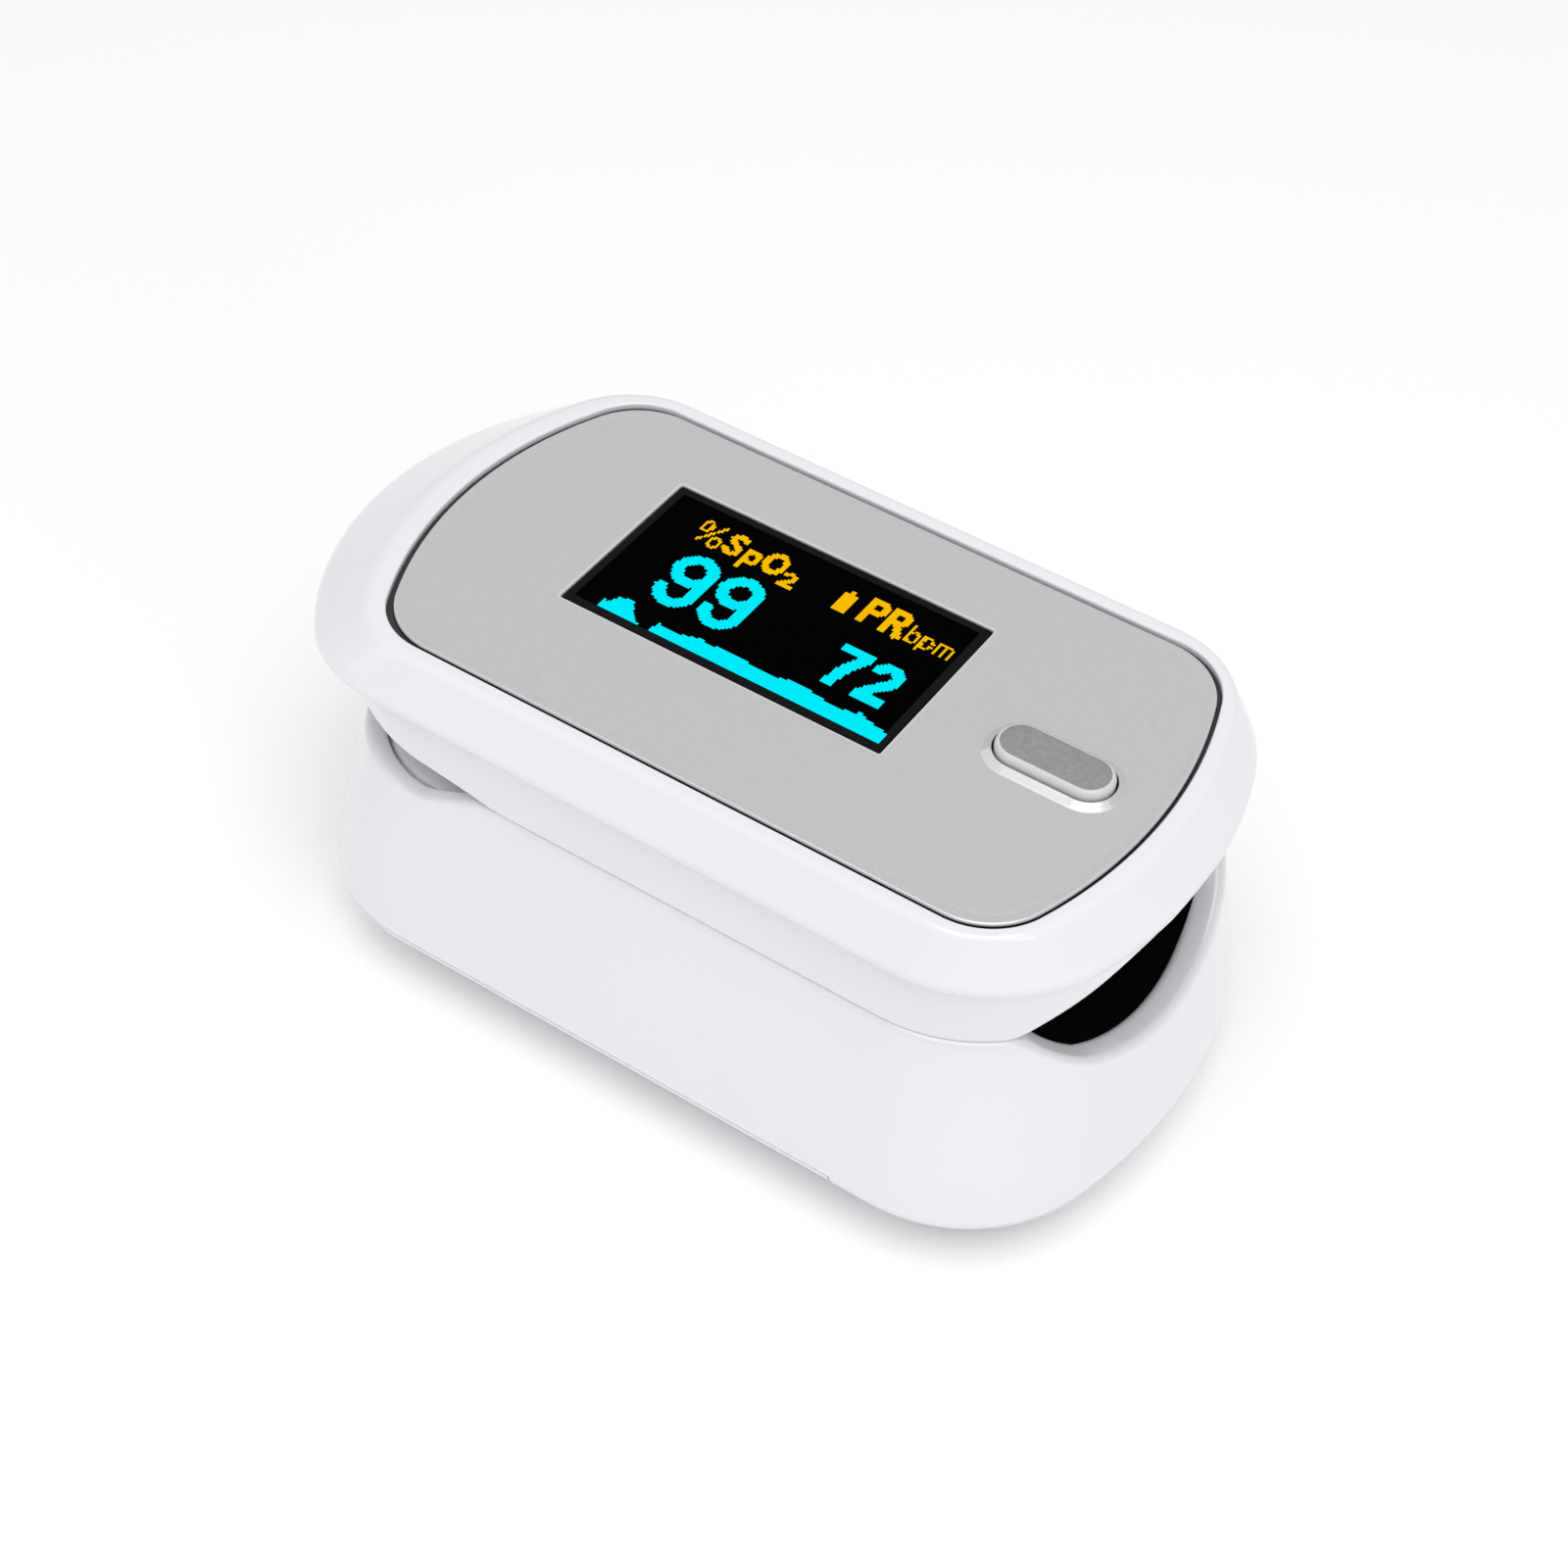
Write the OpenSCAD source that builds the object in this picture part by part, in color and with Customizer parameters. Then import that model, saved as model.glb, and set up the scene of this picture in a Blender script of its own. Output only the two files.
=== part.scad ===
// Fingertip pulse oximeter: two jaws on a sprung hinge, closed on a finger channel.
// Origin: middle of the underside. X runs from the hinge end to the finger mouth, Z is up.

/* [Body] */
// Length over both jaws
body_length = 65.5; // [64:0.5:80]
// Width of the lower jaw where it is widest
body_width = 37.1; // [36:0.5:46]
// Wall of the outer shells
shell_wall = 1.5; // [1.2:0.1:2]
// Height above the floor where the lower jaw is widest
belly_height = 5.2; // [4.5:0.1:7]
// How far the underside is drawn in from the belly on each side
belly_draw = 5; // [3:0.1:6]
// Gap between the closed jaws
jaw_gap = 0.3; // [0.2:0.05:0.6]
// Height of the top cover's bevel, from the widest line to the faceplate
bevel_height = 3.6; // [3:0.1:5]

/* [Hinge] */
// Distance of the hinge axis behind the middle of the body
hinge_back = 12; // [8:0.5:14]
// Diameter of the hinge pin
pin_d = 2; // [1.5:0.1:2.6]
// Radial clearance of the pin in the knuckles
pin_clearance = 0.05; // [0.02:0.01:0.1]
// Outer diameter of a hinge knuckle
knuckle_d = 5; // [4.4:0.1:5.6]
// Drop of the lower jaw's rim behind the hinge
rear_drop = 1.9; // [1.5:0.1:3]
// Slope of the upper jaw's rim behind the hinge, in degrees
rear_slope = 9; // [8.5:0.5:13]
// Wire of the torsion springs
hinge_wire_d = 0.6; // [0.4:0.05:0.8]
// Turns of each torsion spring
hinge_turns = 5; // [3:1:6]

/* [Finger channel] */
// Half width of the channel at the split between the jaws
channel_half = 11.5; // [9:0.1:12]
// Depth of the lower trough below the split
trough_depth = 5.6; // [4.5:0.1:6.5]
// Height of the upper arch above the split
arch_height = 3.4; // [2.5:0.1:4]
// Half width of the flared mouth
mouth_half = 12.6; // [12.5:0.1:13.4]
// Depth of the mouth below the split
mouth_depth = 5.5; // [5.2:0.1:7]
// Height of the mouth above the split
mouth_height = 5.9; // [5:0.1:6.2]
// Thickness of the silicone pads
pad_t = 1; // [0.8:0.1:1.4]
// Thickness of the inner frames
frame_wall = 1; // [0.8:0.1:1.4]
// Distance of the light sensor from the middle of the body
sensor_x = 6; // [0:0.5:14]

/* [Batteries] */
// Diameter of a cell
cell_d = 10.5; // [9.5:0.1:12.6]
// Length of a cell
cell_length = 44.5; // [40:0.5:46]
// Compressed length of a battery spring
cell_spring_length = 2; // [1.6:0.1:3]
// Thickness of the battery cover
floor_wall = 1.2; // [1:0.1:1.6]
// Gap around the cells
cell_gap = 0.4; // [0.2:0.05:0.6]
// Thickness of the contact plates
contact_t = 0.3; // [0.2:0.05:0.5]

/* [Display and button] */
// Length of the display window
window_length = 24.7; // [20:0.1:27]
// Width of the display window
window_width = 13.6; // [11:0.1:16]
// Distance of the window's middle behind the middle of the body
window_back = 1.15; // [0:0.05:4]
// Distance of the window's middle from the centre line
window_side = 1.6; // [0:0.1:2.5]
// Length of the display module
module_length = 26.7; // [25:0.1:28]
// Width of the display module
module_width = 19.3; // [18:0.1:20]
// Length of the power button
button_length = 8.3; // [6:0.1:10]
// Width of the power button
button_width = 3.5; // [2.6:0.1:5]
// Distance of the button in front of the middle of the body
button_x = 20.8; // [19:0.1:22]
// Height of the button above the faceplate
button_height = 1; // [0.6:0.1:1.4]
// Travel of the button
button_travel = 0.3; // [0.2:0.05:0.3]

/* [Thicknesses in the upper jaw] */
// Faceplate
plate_t = 0.6; // [0.4:0.05:0.8]
// Deck of the top cover
deck_t = 1; // [0.8:0.1:1.4]
// Display window
window_t = 0.8; // [0.6:0.05:1]
// Gasket between the window and the display
gasket_t = 0.3; // [0.2:0.05:0.5]
// Display module
module_t = 1.5; // [1.2:0.1:1.8]
// Circuit board
board_t = 0.8; // [0.6:0.1:1.2]

/* [Hidden] */
$fn = 48;

// Heights, stacked up from the floor
cell_z = floor_wall + cell_gap + cell_d / 2;
trough_z = floor_wall + cell_gap + cell_d + 0.5 + frame_wall + pad_t;
split_z = trough_z + trough_depth;
arch_z = split_z + arch_height;
parting_z = arch_z + pad_t + frame_wall + 0.2;
board_z = parting_z + 0.8;
module_z = board_z + board_t + 0.2;
window_z = module_z + module_t + gasket_t;
top_z = window_z + window_t;
deck_z = top_z - plate_t - deck_t;
wide_z = top_z - bevel_height;

// Outlines: [front, rear, half width, extra radius of front end, extra radius of rear end,
// front corner radius, rear corner radius]. An end's radius is the half width plus the extra.
half_l = body_length / 2;
half_w = body_width / 2;
belly_o = [half_l, half_l - 2, half_w, 18.7, 18.2, 11.5, 11.2];
foot_o = [half_l - belly_draw + 1, half_l - 1.3 - belly_draw, half_w - belly_draw, 18.7, 18.2, 8, 8];
rim_o = [half_l - 2.15, half_l - 4.8, half_w - 2.35, 13, 8, 11.3, 10];
parting_o = [half_l - 1.1, half_l - 1.2, half_w - 2, 13, 5, 11.3, 9.9];
wide_o = [half_l - 0.95, half_l, half_w - 1.25, 13, 4.5, 11.3, 9.9];
lip_o = [half_l - 3.1, half_l - 5.7, half_w - 2.9, 15, 10, 7, 7];
plate_o = [half_l - 4.5, half_l - 7.6, half_w - 4.25, 17.8, 12, 5.2, 5.2];

// Hinge and channel
hinge_x = -hinge_back;
trough_r = (channel_half * channel_half + trough_depth * trough_depth) / (2 * trough_depth);
arch_r = (channel_half * channel_half + arch_height * arch_height) / (2 * arch_height);
mouth_low_r = (mouth_half * mouth_half + mouth_depth * mouth_depth) / (2 * mouth_depth);
mouth_top_r = (mouth_half * mouth_half + mouth_height * mouth_height) / (2 * mouth_height);
stop_x = hinge_x + knuckle_d / 2 + 1.5;
pad_end_x = half_l - 4;
collar_t = 0.9;
mouth_x = pad_end_x - collar_t;
frame_end_x = mouth_x - 0.05;
mouth_cut_x = half_l - 7;
pad_flange_t = 1;
pad_flange_y = channel_half + 2.4;
low_flange_z = split_z - 2;
top_flange_z = split_z + 1.2;
roof_z = split_z + 3.4;
coil_r = pin_d / 2 + hinge_wire_d / 2 + 0.35;
coil_pitch = hinge_wire_d + 0.08;
spring_y = 4;
knuckle_y = spring_y + hinge_turns * coil_pitch + 1.8;
knuckle_w = 2;

// Battery bay
bay_length = cell_length + cell_spring_length + 2 * contact_t;
bay_x = 0.9;
bay_x0 = bay_x - bay_length / 2;
bay_x1 = bay_x + bay_length / 2;
cell_y = cell_d / 2 + 0.25;
bay_half = 2 * cell_y + 0.25;
bay_wall = 0.8;
contact_w = 8.4;
cover_z = belly_height + 0.3;
cover_x1 = bay_x0 + bay_length * 0.85;
shelf_z = cover_z + 0.6;
shelf_t = 1.4;
lower_screw_y = min(bay_half - 1.5, half_w - 8.8);
ledge_z = floor_wall + 1.8;
ledge_w = 0.8;
ledge_t = 0.6;
rail_gap = 0.15;
rail_t = 0.8;
rail_hook_t = 0.6;
cover_gap = 0.15;

// Boards and screws
board_half = half_w - 8;
board_x0 = -half_l + 9;
board_x1 = half_l - 7.5;
upper_screw_x = [-half_l + 7.2, half_l - 13];
upper_screw_y = [half_w - 9, half_w - 5.6];
sensor_board_length = 5.6;
sensor_board_width = 4.6;
sensor_length = 3.2;
sensor_width = 3;
sensor_window = 4;
cable_width = 4;
cable_t = 0.15;
cable_x = hinge_x - 4.3;
switch_length = 4.5;
switch_width = 3.5;
plunger_r = 0.9;
button_gap = 0.25;
button_seat = 0.5;
plate_gap = 0.15;
lip_rise = 0.15;
boss_r = 1.9;
screw_r = 0.7;
head_r = 1.4;
head_t = 0.8;

// One quarter of an outline: an end arc, then a corner arc up to the straight side
function quarter(a, b, extra, r, n) =
    let (R = b + extra, cx = a - R, yc = b - r)
    let (xc = cx + sqrt((R - r) * (R - r) - yc * yc))
    let (turn = atan2(yc, xc - cx))
    concat([for (i = [0:n - 1]) [cx + R * cos(turn * i / n), R * sin(turn * i / n)]],
        [for (i = [0:n]) let (t = turn + (90 - turn) * i / n) [xc + r * cos(t), yc + r * sin(t)]]);
function outline(o, n = 6) =
    let (f = quarter(o[0], o[2], o[3], o[5], n), k = quarter(o[1], o[2], o[4], o[6], n))
    let (m = len(k))
    let (up = concat(f, [for (i = [m - 1:-1:0]) [-k[i][0], k[i][1]]]))
    concat(up, [for (i = [len(up) - 2:-1:1]) [up[i][0], -up[i][1]]]);
function inset(o, d) = [o[0] - d, o[1] - d, o[2] - d, o[3], o[4], o[5] - d, o[6] - d];
function blend(a, b, t) = [for (i = [0:len(a) - 1]) a[i] + (b[i] - a[i]) * t];

// Closed solid through outlines stacked from low to high: levels are [outline, height]
module loft(levels) {
    rings = [for (l = levels) [for (p = outline(l[0])) [p[0], p[1], l[1]]]];
    n = len(rings[0]);
    m = len(rings);
    sides = [for (j = [0:m - 2], i = [0:n - 1], k = [0, 1])
        let (a = j * n + i, b = j * n + (i + 1) % n)
        k == 0 ? [a, a + n, b] : [b, a + n, b + n]];
    floor_face = [for (i = [0:n - 1]) i];
    top_face = [for (i = [n - 1:-1:0]) (m - 1) * n + i];
    polyhedron(points = [for (r = rings) each r], faces = concat([floor_face], sides, [top_face]));
}
module slab(o, z, t) {
    translate([0, 0, z]) linear_extrude(t) polygon(outline(o, 10));
}
// Rectangular block on a centre line, from a height upwards
module block(x, y, length, width, z, height) {
    translate([x - length / 2, y - width / 2, z]) cube([length, width, height]);
}
// Everything between two places along X and two heights
module span(x0, x1, z0, z1) {
    translate([x0, -body_width, z0]) cube([x1 - x0, 2 * body_width, z1 - z0]);
}
module pill(length, width, height) {
    for (s = [-1, 1]) translate([s * (length - width) / 2, 0, 0]) cylinder(h = height, d = width);
    translate([-(length - width) / 2, -width / 2, 0]) cube([length - width, width, height]);
}
// Round bar along X between two places
module bar_x(r, x0, x1, z) {
    translate([x0, 0, z]) rotate([0, 90, 0]) cylinder(h = x1 - x0, r = r, $fn = 96);
}
module bar_y(r, y0, y1) {
    translate([hinge_x, y0, split_z]) rotate([-90, 0, 0]) cylinder(h = y1 - y0, r = r);
}
// Body of the lower jaw, drawn in by a wall
module lower_body(d) {
    foot = [for (t = [0, 0.3, 0.7])
        [blend(foot_o, belly_o, pow(t, 0.92)), belly_height * t]];
    side = [for (t = [0:0.25:1])
        [blend(belly_o, rim_o, pow(t, 1.25)), belly_height + (split_z - belly_height) * t]];
    loft([for (l = concat(foot, side)) [inset(l[0], d), l[1]]]);
}
// Space behind the hinge that lets the jaws be squeezed, as a profile along Y
module rear_space(drop, slope) {
    run = 6;
    curve = [for (s = [0:0.125:1]) [-run * s, -drop * s * s * (3 - 2 * s)]];
    profile = concat(curve, [[-half_l, -drop], [-half_l, half_l * tan(slope)], [0, 0]]);
    translate([hinge_x, 0, split_z]) rotate([90, 0, 0])
        linear_extrude(2 * body_width, center = true) polygon(profile);
}
// Flared openings of the mouth, cut through the shells
module lower_mouth(grow = 0) {
    bar_x(mouth_low_r + grow, mouth_cut_x, body_length, split_z - mouth_depth + mouth_low_r);
}
module upper_mouth() {
    bar_x(mouth_top_r, mouth_cut_x, body_length, split_z + mouth_height - mouth_top_r);
}
module screw(length) {
    difference() {
        union() {
            cylinder(h = head_t, r = head_r);
            cylinder(h = head_t + length, r = screw_r);
        }
        for (a = [0, 90]) rotate(a) translate([-0.9, -0.15, -1]) cube([1.8, 0.3, 1.45]);
    }
}
// Wire swept along a helix, with an optional straight leg at each end
module coil(radius, wire, pitch, turns, cone = 0, leg0 = 0, leg1 = 0) {
    per_turn = 14;
    sides = 8;
    count = turns * per_turn;
    function ring(i, shift) =
        let (a = 360 * i / per_turn, r = radius - cone * i / count, h = pitch * i / per_turn)
        [for (k = [0:sides - 1]) let (q = 360 * k / sides, out = r + wire / 2 * cos(q))
            [out * cos(a), out * sin(a) + shift, h + wire / 2 * sin(q)]];
    rings = concat(leg0 > 0 ? [ring(0, -leg0)] : [], [for (i = [0:count]) ring(i, 0)],
        leg1 > 0 ? [ring(count, leg1)] : []);
    last = len(rings) - 1;
    tube = [for (j = [0:last - 1], i = [0:sides - 1], k = [0, 1])
        let (a = j * sides + i, b = j * sides + (i + 1) % sides)
        k == 0 ? [a, b, a + sides] : [b, b + sides, a + sides]];
    start_cap = [for (i = [0:sides - 1]) sides - 1 - i];
    end_cap = [for (i = [0:sides - 1]) last * sides + i];
    polyhedron(points = [for (r = rings) each r], faces = concat([start_cap], tube, [end_cap]));
}

// Places of the screws that hold the top cover to the upper frame
module at_upper_screws(z) {
    for (i = [0, 1], s = [-1, 1]) translate([upper_screw_x[i], s * upper_screw_y[i], z]) children();
}
module top_cover() {
    bevel = [for (t = [0, 0.35, 0.7]) [blend(wide_o, lip_o, t * 0.93), wide_z + bevel_height * t]];
    ceiling_o = blend(wide_o, lip_o, 0.7);
    color("white") difference() {
        union() {
            difference() {
                loft(concat([[parting_o, parting_z], [blend(parting_o, wide_o, 0.8), parting_z + 0.35]],
                    bevel, [[lip_o, top_z + lip_rise]]));
                loft([[inset(parting_o, shell_wall), parting_z - 1],
                    [inset(parting_o, shell_wall), wide_z],
                    [inset(ceiling_o, shell_wall + 0.6), deck_z]]);
            }
            at_upper_screws(parting_z) cylinder(h = deck_z + 0.3 - parting_z, r = boss_r - 0.2);
        }
        slab(inset(plate_o, -plate_gap), top_z - plate_t, 5);
        block(-window_back, window_side, module_length + 0.6, module_width + 0.6, deck_z - 1, 9);
        translate([button_x, 0, deck_z - 1]) button_hole();
        at_upper_screws(parting_z - 1) cylinder(h = 3.3, r = screw_r + 0.02);
        upper_mouth();
    }
}
module button_hole() {
    pill(button_length + 2 * button_gap, button_width + 2 * button_gap, 9);
}
module faceplate() {
    color("silver") difference() {
        slab(plate_o, top_z - plate_t + 0.02, plate_t - 0.02);
        block(-window_back, window_side, window_length + 0.1, window_width + 0.1, top_z - 3, 5);
        translate([button_x, 0, top_z - 3]) button_hole();
    }
}
module display_window() {
    color("black") block(-window_back, window_side, window_length, window_width, window_z, window_t);
}
module display_gasket() {
    low = window_z - gasket_t;
    color("dimgray") difference() {
        block(-window_back, window_side, window_length, window_width, low, gasket_t);
        block(-window_back, window_side, window_length - 2.4, window_width - 2, low - 1, 3);
    }
}
module display_module() {
    color("darkslategray")
        block(-window_back, window_side, module_length, module_width, module_z, module_t);
}
module display_ribbon() {
    ribbon_t = 0.15;
    start = -window_back - module_length / 2;
    bend = start - 2.4;
    high = module_z + 0.6;
    low = board_z + board_t;
    color("orange") translate([0, window_side + 6, 0]) rotate([90, 0, 0]) linear_extrude(12)
        polygon([[start, high + ribbon_t], [bend, high + ribbon_t], [bend, low + ribbon_t],
            [bend - 3, low + ribbon_t], [bend - 3, low], [bend + ribbon_t, low],
            [bend + ribbon_t, high], [start, high]]);
}
module main_board() {
    middle = (board_x0 + board_x1) / 2;
    color("green") difference() {
        block(middle, 0, board_x1 - board_x0, 2 * board_half, board_z, board_t);
        at_upper_screws(0) cylinder(h = top_z, r = boss_r + 0.1);
        block(button_x, 0, switch_length + 0.3, switch_width + 0.3, 0, top_z);
    }
}
// The processor and two small packages under the board, and two rows of resistors
module board_chips() {
    color("black") {
        block(board_x0 + 3.7, 0, 5, 7, board_z - 1, 1);
        block(board_x0 + 5.5, 6.5, 3, 2.6, board_z - 0.8, 0.8);
        block(board_x0 + 6, -6.7, 4, 2.6, board_z - 0.8, 0.8);
        for (i = [0:3]) block(board_x0 + 9.5, 4.2 + 1.1 * i, 1.2, 0.6, board_z - 0.45, 0.45);
        for (i = [0:2]) block(board_x1 - 1.6, -8.2 + 1.6 * i, 1.2, 0.6, board_z + board_t, 0.45);
    }
}
module switch_body() {
    color("silver") difference() {
        block(button_x, 0, switch_length, switch_width, board_z - 0.4, board_t + 0.7);
        translate([button_x, 0, board_z - 0.1]) cylinder(h = 5, r = plunger_r + 0.1);
    }
}
module switch_plunger() {
    low = board_z + button_travel + 0.05;
    color("black") translate([button_x, 0, low]) cylinder(h = deck_z - button_seat - low, r = plunger_r);
}
module power_button() {
    color("gray") translate([button_x, 0, deck_z - button_seat]) {
        pill(button_length + 1.8, button_width + 1.8, button_seat - 0.05);
        pill(button_length, button_width, top_z + button_height - deck_z + button_seat);
    }
}
// Space inside the walls of the upper frame, drawn in by a clearance
module upper_inside(d) {
    loft([[inset(rim_o, shell_wall + d), split_z - 1],
        [inset(parting_o, shell_wall + 0.3 + d), parting_z + 1]]);
}
// Round bar whose underside is the arch over the finger
module arch_bar(grow, x0, x1) {
    bar_x(arch_r + grow, x0, x1, arch_z - arch_r);
}
module upper_frame() {
    top = parting_z - 0.02;
    step_x = hinge_x + knuckle_d / 2;
    color("white") difference() {
        union() {
            difference() {
                loft([[rim_o, split_z + jaw_gap], [inset(parting_o, 0.5), top]]);
                upper_inside(0);
                upper_mouth();
            }
            // Arched ceiling over the finger, its side flanges, and the floor behind the hinge
            intersection() {
                upper_inside(-0.6);
                union() {
                    intersection() {
                        arch_bar(pad_t + frame_wall, stop_x, frame_end_x);
                        span(stop_x, half_l, top_flange_z, top_z);
                    }
                    span(stop_x, frame_end_x, top_flange_z, top_flange_z + frame_wall);
                    span(-half_l, step_x + 0.1, roof_z, roof_z + frame_wall);
                    for (s = [-1, 1], i = [0, 1]) translate([upper_screw_x[i], s * upper_screw_y[i], 0])
                        translate([0, 0, i == 0 ? roof_z : top_flange_z])
                            cylinder(h = top - (i == 0 ? roof_z : top_flange_z), r = boss_r);
                }
            }
            block((step_x + stop_x + 1) / 2, 0, stop_x + 1 - step_x, 2 * channel_half, roof_z,
                frame_wall);
            block(stop_x + 0.5, 0, 1, 2 * channel_half, top_flange_z, roof_z + 1 - top_flange_z);
            upper_knuckles();
        }
        arch_bar(pad_t, stop_x + 1, body_length);
        rear_space(0, rear_slope);
        block(sensor_x, 0, sensor_board_length + 0.4, sensor_board_width + 0.4, arch_z, top_z);
        block(cable_x, 0, 1.8, cable_width + 1.2, roof_z - 1, 4);
        at_upper_screws(0) cylinder(h = top_z, r = screw_r + 0.1);
        at_upper_screws(0) cylinder(h = roof_z + 0.9, r = head_r + 0.1);
        bar_y(pin_d / 2 + pin_clearance, -half_w, half_w);
    }
}
// Knuckles of the upper jaw, inside those of the lower jaw
module upper_knuckles() {
    for (s = [-1, 1]) {
        bar_y(knuckle_d / 2, s * knuckle_y - knuckle_w / 2, s * knuckle_y + knuckle_w / 2);
        translate([hinge_x - 1.2, s * knuckle_y - knuckle_w / 2, split_z + 0.5])
            cube([stop_x - hinge_x + 1.7, knuckle_w, roof_z - split_z]);
    }
}
module upper_finger_pad() {
    low = top_flange_z - pad_flange_t;
    high = parting_z - 0.1;
    color("black") difference() {
        intersection() {
            upper_inside(0.2);
            union() {
                intersection() {
                    arch_bar(pad_t - 0.05, stop_x + 1.1, pad_end_x);
                    block(0, 0, body_length, 2 * channel_half + 0.8, low, high);
                }
                pad_strip(stop_x + 1.1, pad_end_x, low, top_flange_z - 0.02);
                // Collar that closes the gap behind the mouth
                pad_strip(mouth_x, pad_end_x, low, high);
            }
        }
        arch_bar(0, stop_x, body_length);
        block(sensor_x, 0, sensor_window, sensor_window, arch_z - 1, top_z);
    }
}
module pad_strip(x0, x1, z0, z1) {
    block((x0 + x1) / 2, 0, x1 - x0, 2 * pad_flange_y, z0, z1 - z0);
}
module emitter_board() {
    color("green")
        block(sensor_x, 0, sensor_board_length, sensor_board_width, arch_z + pad_t + 0.3, 0.5);
}
module emitter_led() {
    color("red") block(sensor_x, 0, sensor_length, sensor_width, arch_z + 0.3, pad_t);
}
module upper_screws() {
    low = roof_z + 0.1;
    color("silver") at_upper_screws(low) screw(parting_z + 2 - low - head_t);
}
function lower_screw_x() = [bay_x0 - bay_wall - 2.3, bay_x1 + bay_wall + 2.3];
module at_lower_screws(z) {
    for (x = lower_screw_x(), s = [-1, 1]) translate([x, s * lower_screw_y, z]) children();
}
module lower_case() {
    color("white") difference() {
        union() {
            difference() {
                lower_body(0);
                lower_body(shell_wall);
                loft([[inset(rim_o, shell_wall), split_z - 1], [inset(rim_o, shell_wall), split_z + 2]]);
            }
            // Fixed floor in front of the cover, and the shelves that the screws pull on
            intersection() {
                lower_body(0.6);
                union() {
                    span(cover_x1, half_l, 0, floor_wall);
                    span(bay_x1 + bay_wall + 0.3, half_l, shelf_z, shelf_z + shelf_t);
                    span(-half_l, bay_x0 - bay_wall - 0.3, shelf_z, shelf_z + shelf_t);
                }
            }
        }
        span(-body_length, cover_x1, -1, cover_z);
        rear_space(rear_drop, rear_slope);
        lower_mouth();
        at_lower_screws(0) cylinder(h = trough_z, r = screw_r + 0.1);
        at_lower_screws(-1) cylinder(h = 4, r = head_r + 0.3);
    }
}
// Round bar whose top side is cut to the trough under the finger
module trough_bar(grow, x0, x1) {
    bar_x(trough_r + grow, x0, x1, trough_z + trough_r);
}
module lower_frame() {
    post_z = shelf_z + shelf_t + 0.02;
    post_h = trough_z - 0.3 - post_z;
    back_x = stop_x - 1.2;
    color("whitesmoke") difference() {
        union() {
            intersection() {
                lower_body(shell_wall + 0.15);
                union() {
                    // Trough under the finger, closed at its inner end
                    intersection() {
                        trough_bar(pad_t + frame_wall, back_x, frame_end_x);
                        span(back_x, half_l, 0, low_flange_z);
                    }
                    block(back_x + 0.55, 0, 1.1, 2 * channel_half, trough_z - 1.4,
                        low_flange_z - trough_z + 1.4);
                    // Flange that closes the lower case round the trough
                    span(-half_l, frame_end_x, low_flange_z - frame_wall, low_flange_z);
                    battery_bay();
                    at_lower_screws(post_z) cylinder(h = post_h, r = boss_r - 0.1);
                    for (x = lower_screw_x(), s = [-1, 1])
                        block(x > 0 ? x - 1.5 : x + 1.5, s * lower_screw_y, 3, 1.2, post_z, post_h);
                }
            }
            lower_knuckles();
        }
        trough_bar(pad_t, stop_x, body_length);
        block(sensor_x, 0, sensor_board_length + 0.4, sensor_board_width + 0.4, trough_z - 5, 7);
        block(cable_x + 0.1, 0, 2.6, cable_width + 1.2, trough_z - 2.4, 9);
        at_lower_screws(0) cylinder(h = shelf_z + 6, r = screw_r + 0.02);
        for (s = [-1, 1]) bar_y(knuckle_d / 2 + 0.35, s * knuckle_y - knuckle_w / 2 - 0.2,
            s * knuckle_y + knuckle_w / 2 + 0.2);
        bar_y(coil_r + hinge_wire_d / 2 + 0.3, -knuckle_y, knuckle_y);
        bar_y(pin_d / 2 + pin_clearance, -half_w, half_w);
    }
}
// Walls round the two cells, with a ledge on each side that the cover's rails slide under
module battery_bay() {
    low = floor_wall + 0.3;
    outer = bay_half + bay_wall;
    difference() {
        union() {
            block(bay_x, 0, bay_length + 2 * bay_wall, 2 * outer, low, low_flange_z - low);
            block(bay_x, 0, bay_length, 2 * (outer + ledge_w), ledge_z, ledge_t);
        }
        block(bay_x, 0, bay_length, 2 * bay_half, 0, low_flange_z - frame_wall);
    }
}
module lower_knuckles() {
    y = knuckle_y + knuckle_w + 0.6;
    for (s = [-1, 1]) {
        bar_y(knuckle_d / 2, s * y - knuckle_w / 2, s * y + knuckle_w / 2);
        translate([hinge_x - knuckle_d / 2, s * y - knuckle_w / 2, low_flange_z - 1])
            cube([knuckle_d, knuckle_w, split_z - low_flange_z + 1]);
    }
}
module lower_finger_pad() {
    high = low_flange_z + pad_flange_t;
    color("black") difference() {
        intersection() {
            lower_body(shell_wall + 0.15);
            union() {
                intersection() {
                    trough_bar(pad_t - 0.05, stop_x + 0.1, pad_end_x);
                    block(0, 0, body_length, 2 * channel_half + 1, 0, high);
                }
                pad_strip(stop_x + 0.1, pad_end_x, low_flange_z + 0.02, high);
                // Collar that closes the gap behind the mouth
                intersection() {
                    lower_mouth(1.5);
                    pad_strip(mouth_x, pad_end_x, 0, high);
                }
            }
        }
        trough_bar(0, stop_x + 1.1, body_length);
        block(sensor_x, 0, sensor_window, sensor_window, trough_z - 5, 9);
    }
}
module sensor_board() {
    color("green")
        block(sensor_x, 0, sensor_board_length, sensor_board_width, trough_z - pad_t - 0.9, 0.6);
}
module photodiode() {
    color("dimgray") block(sensor_x, 0, sensor_length, sensor_width, trough_z - pad_t - 0.3, 1);
}
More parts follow.
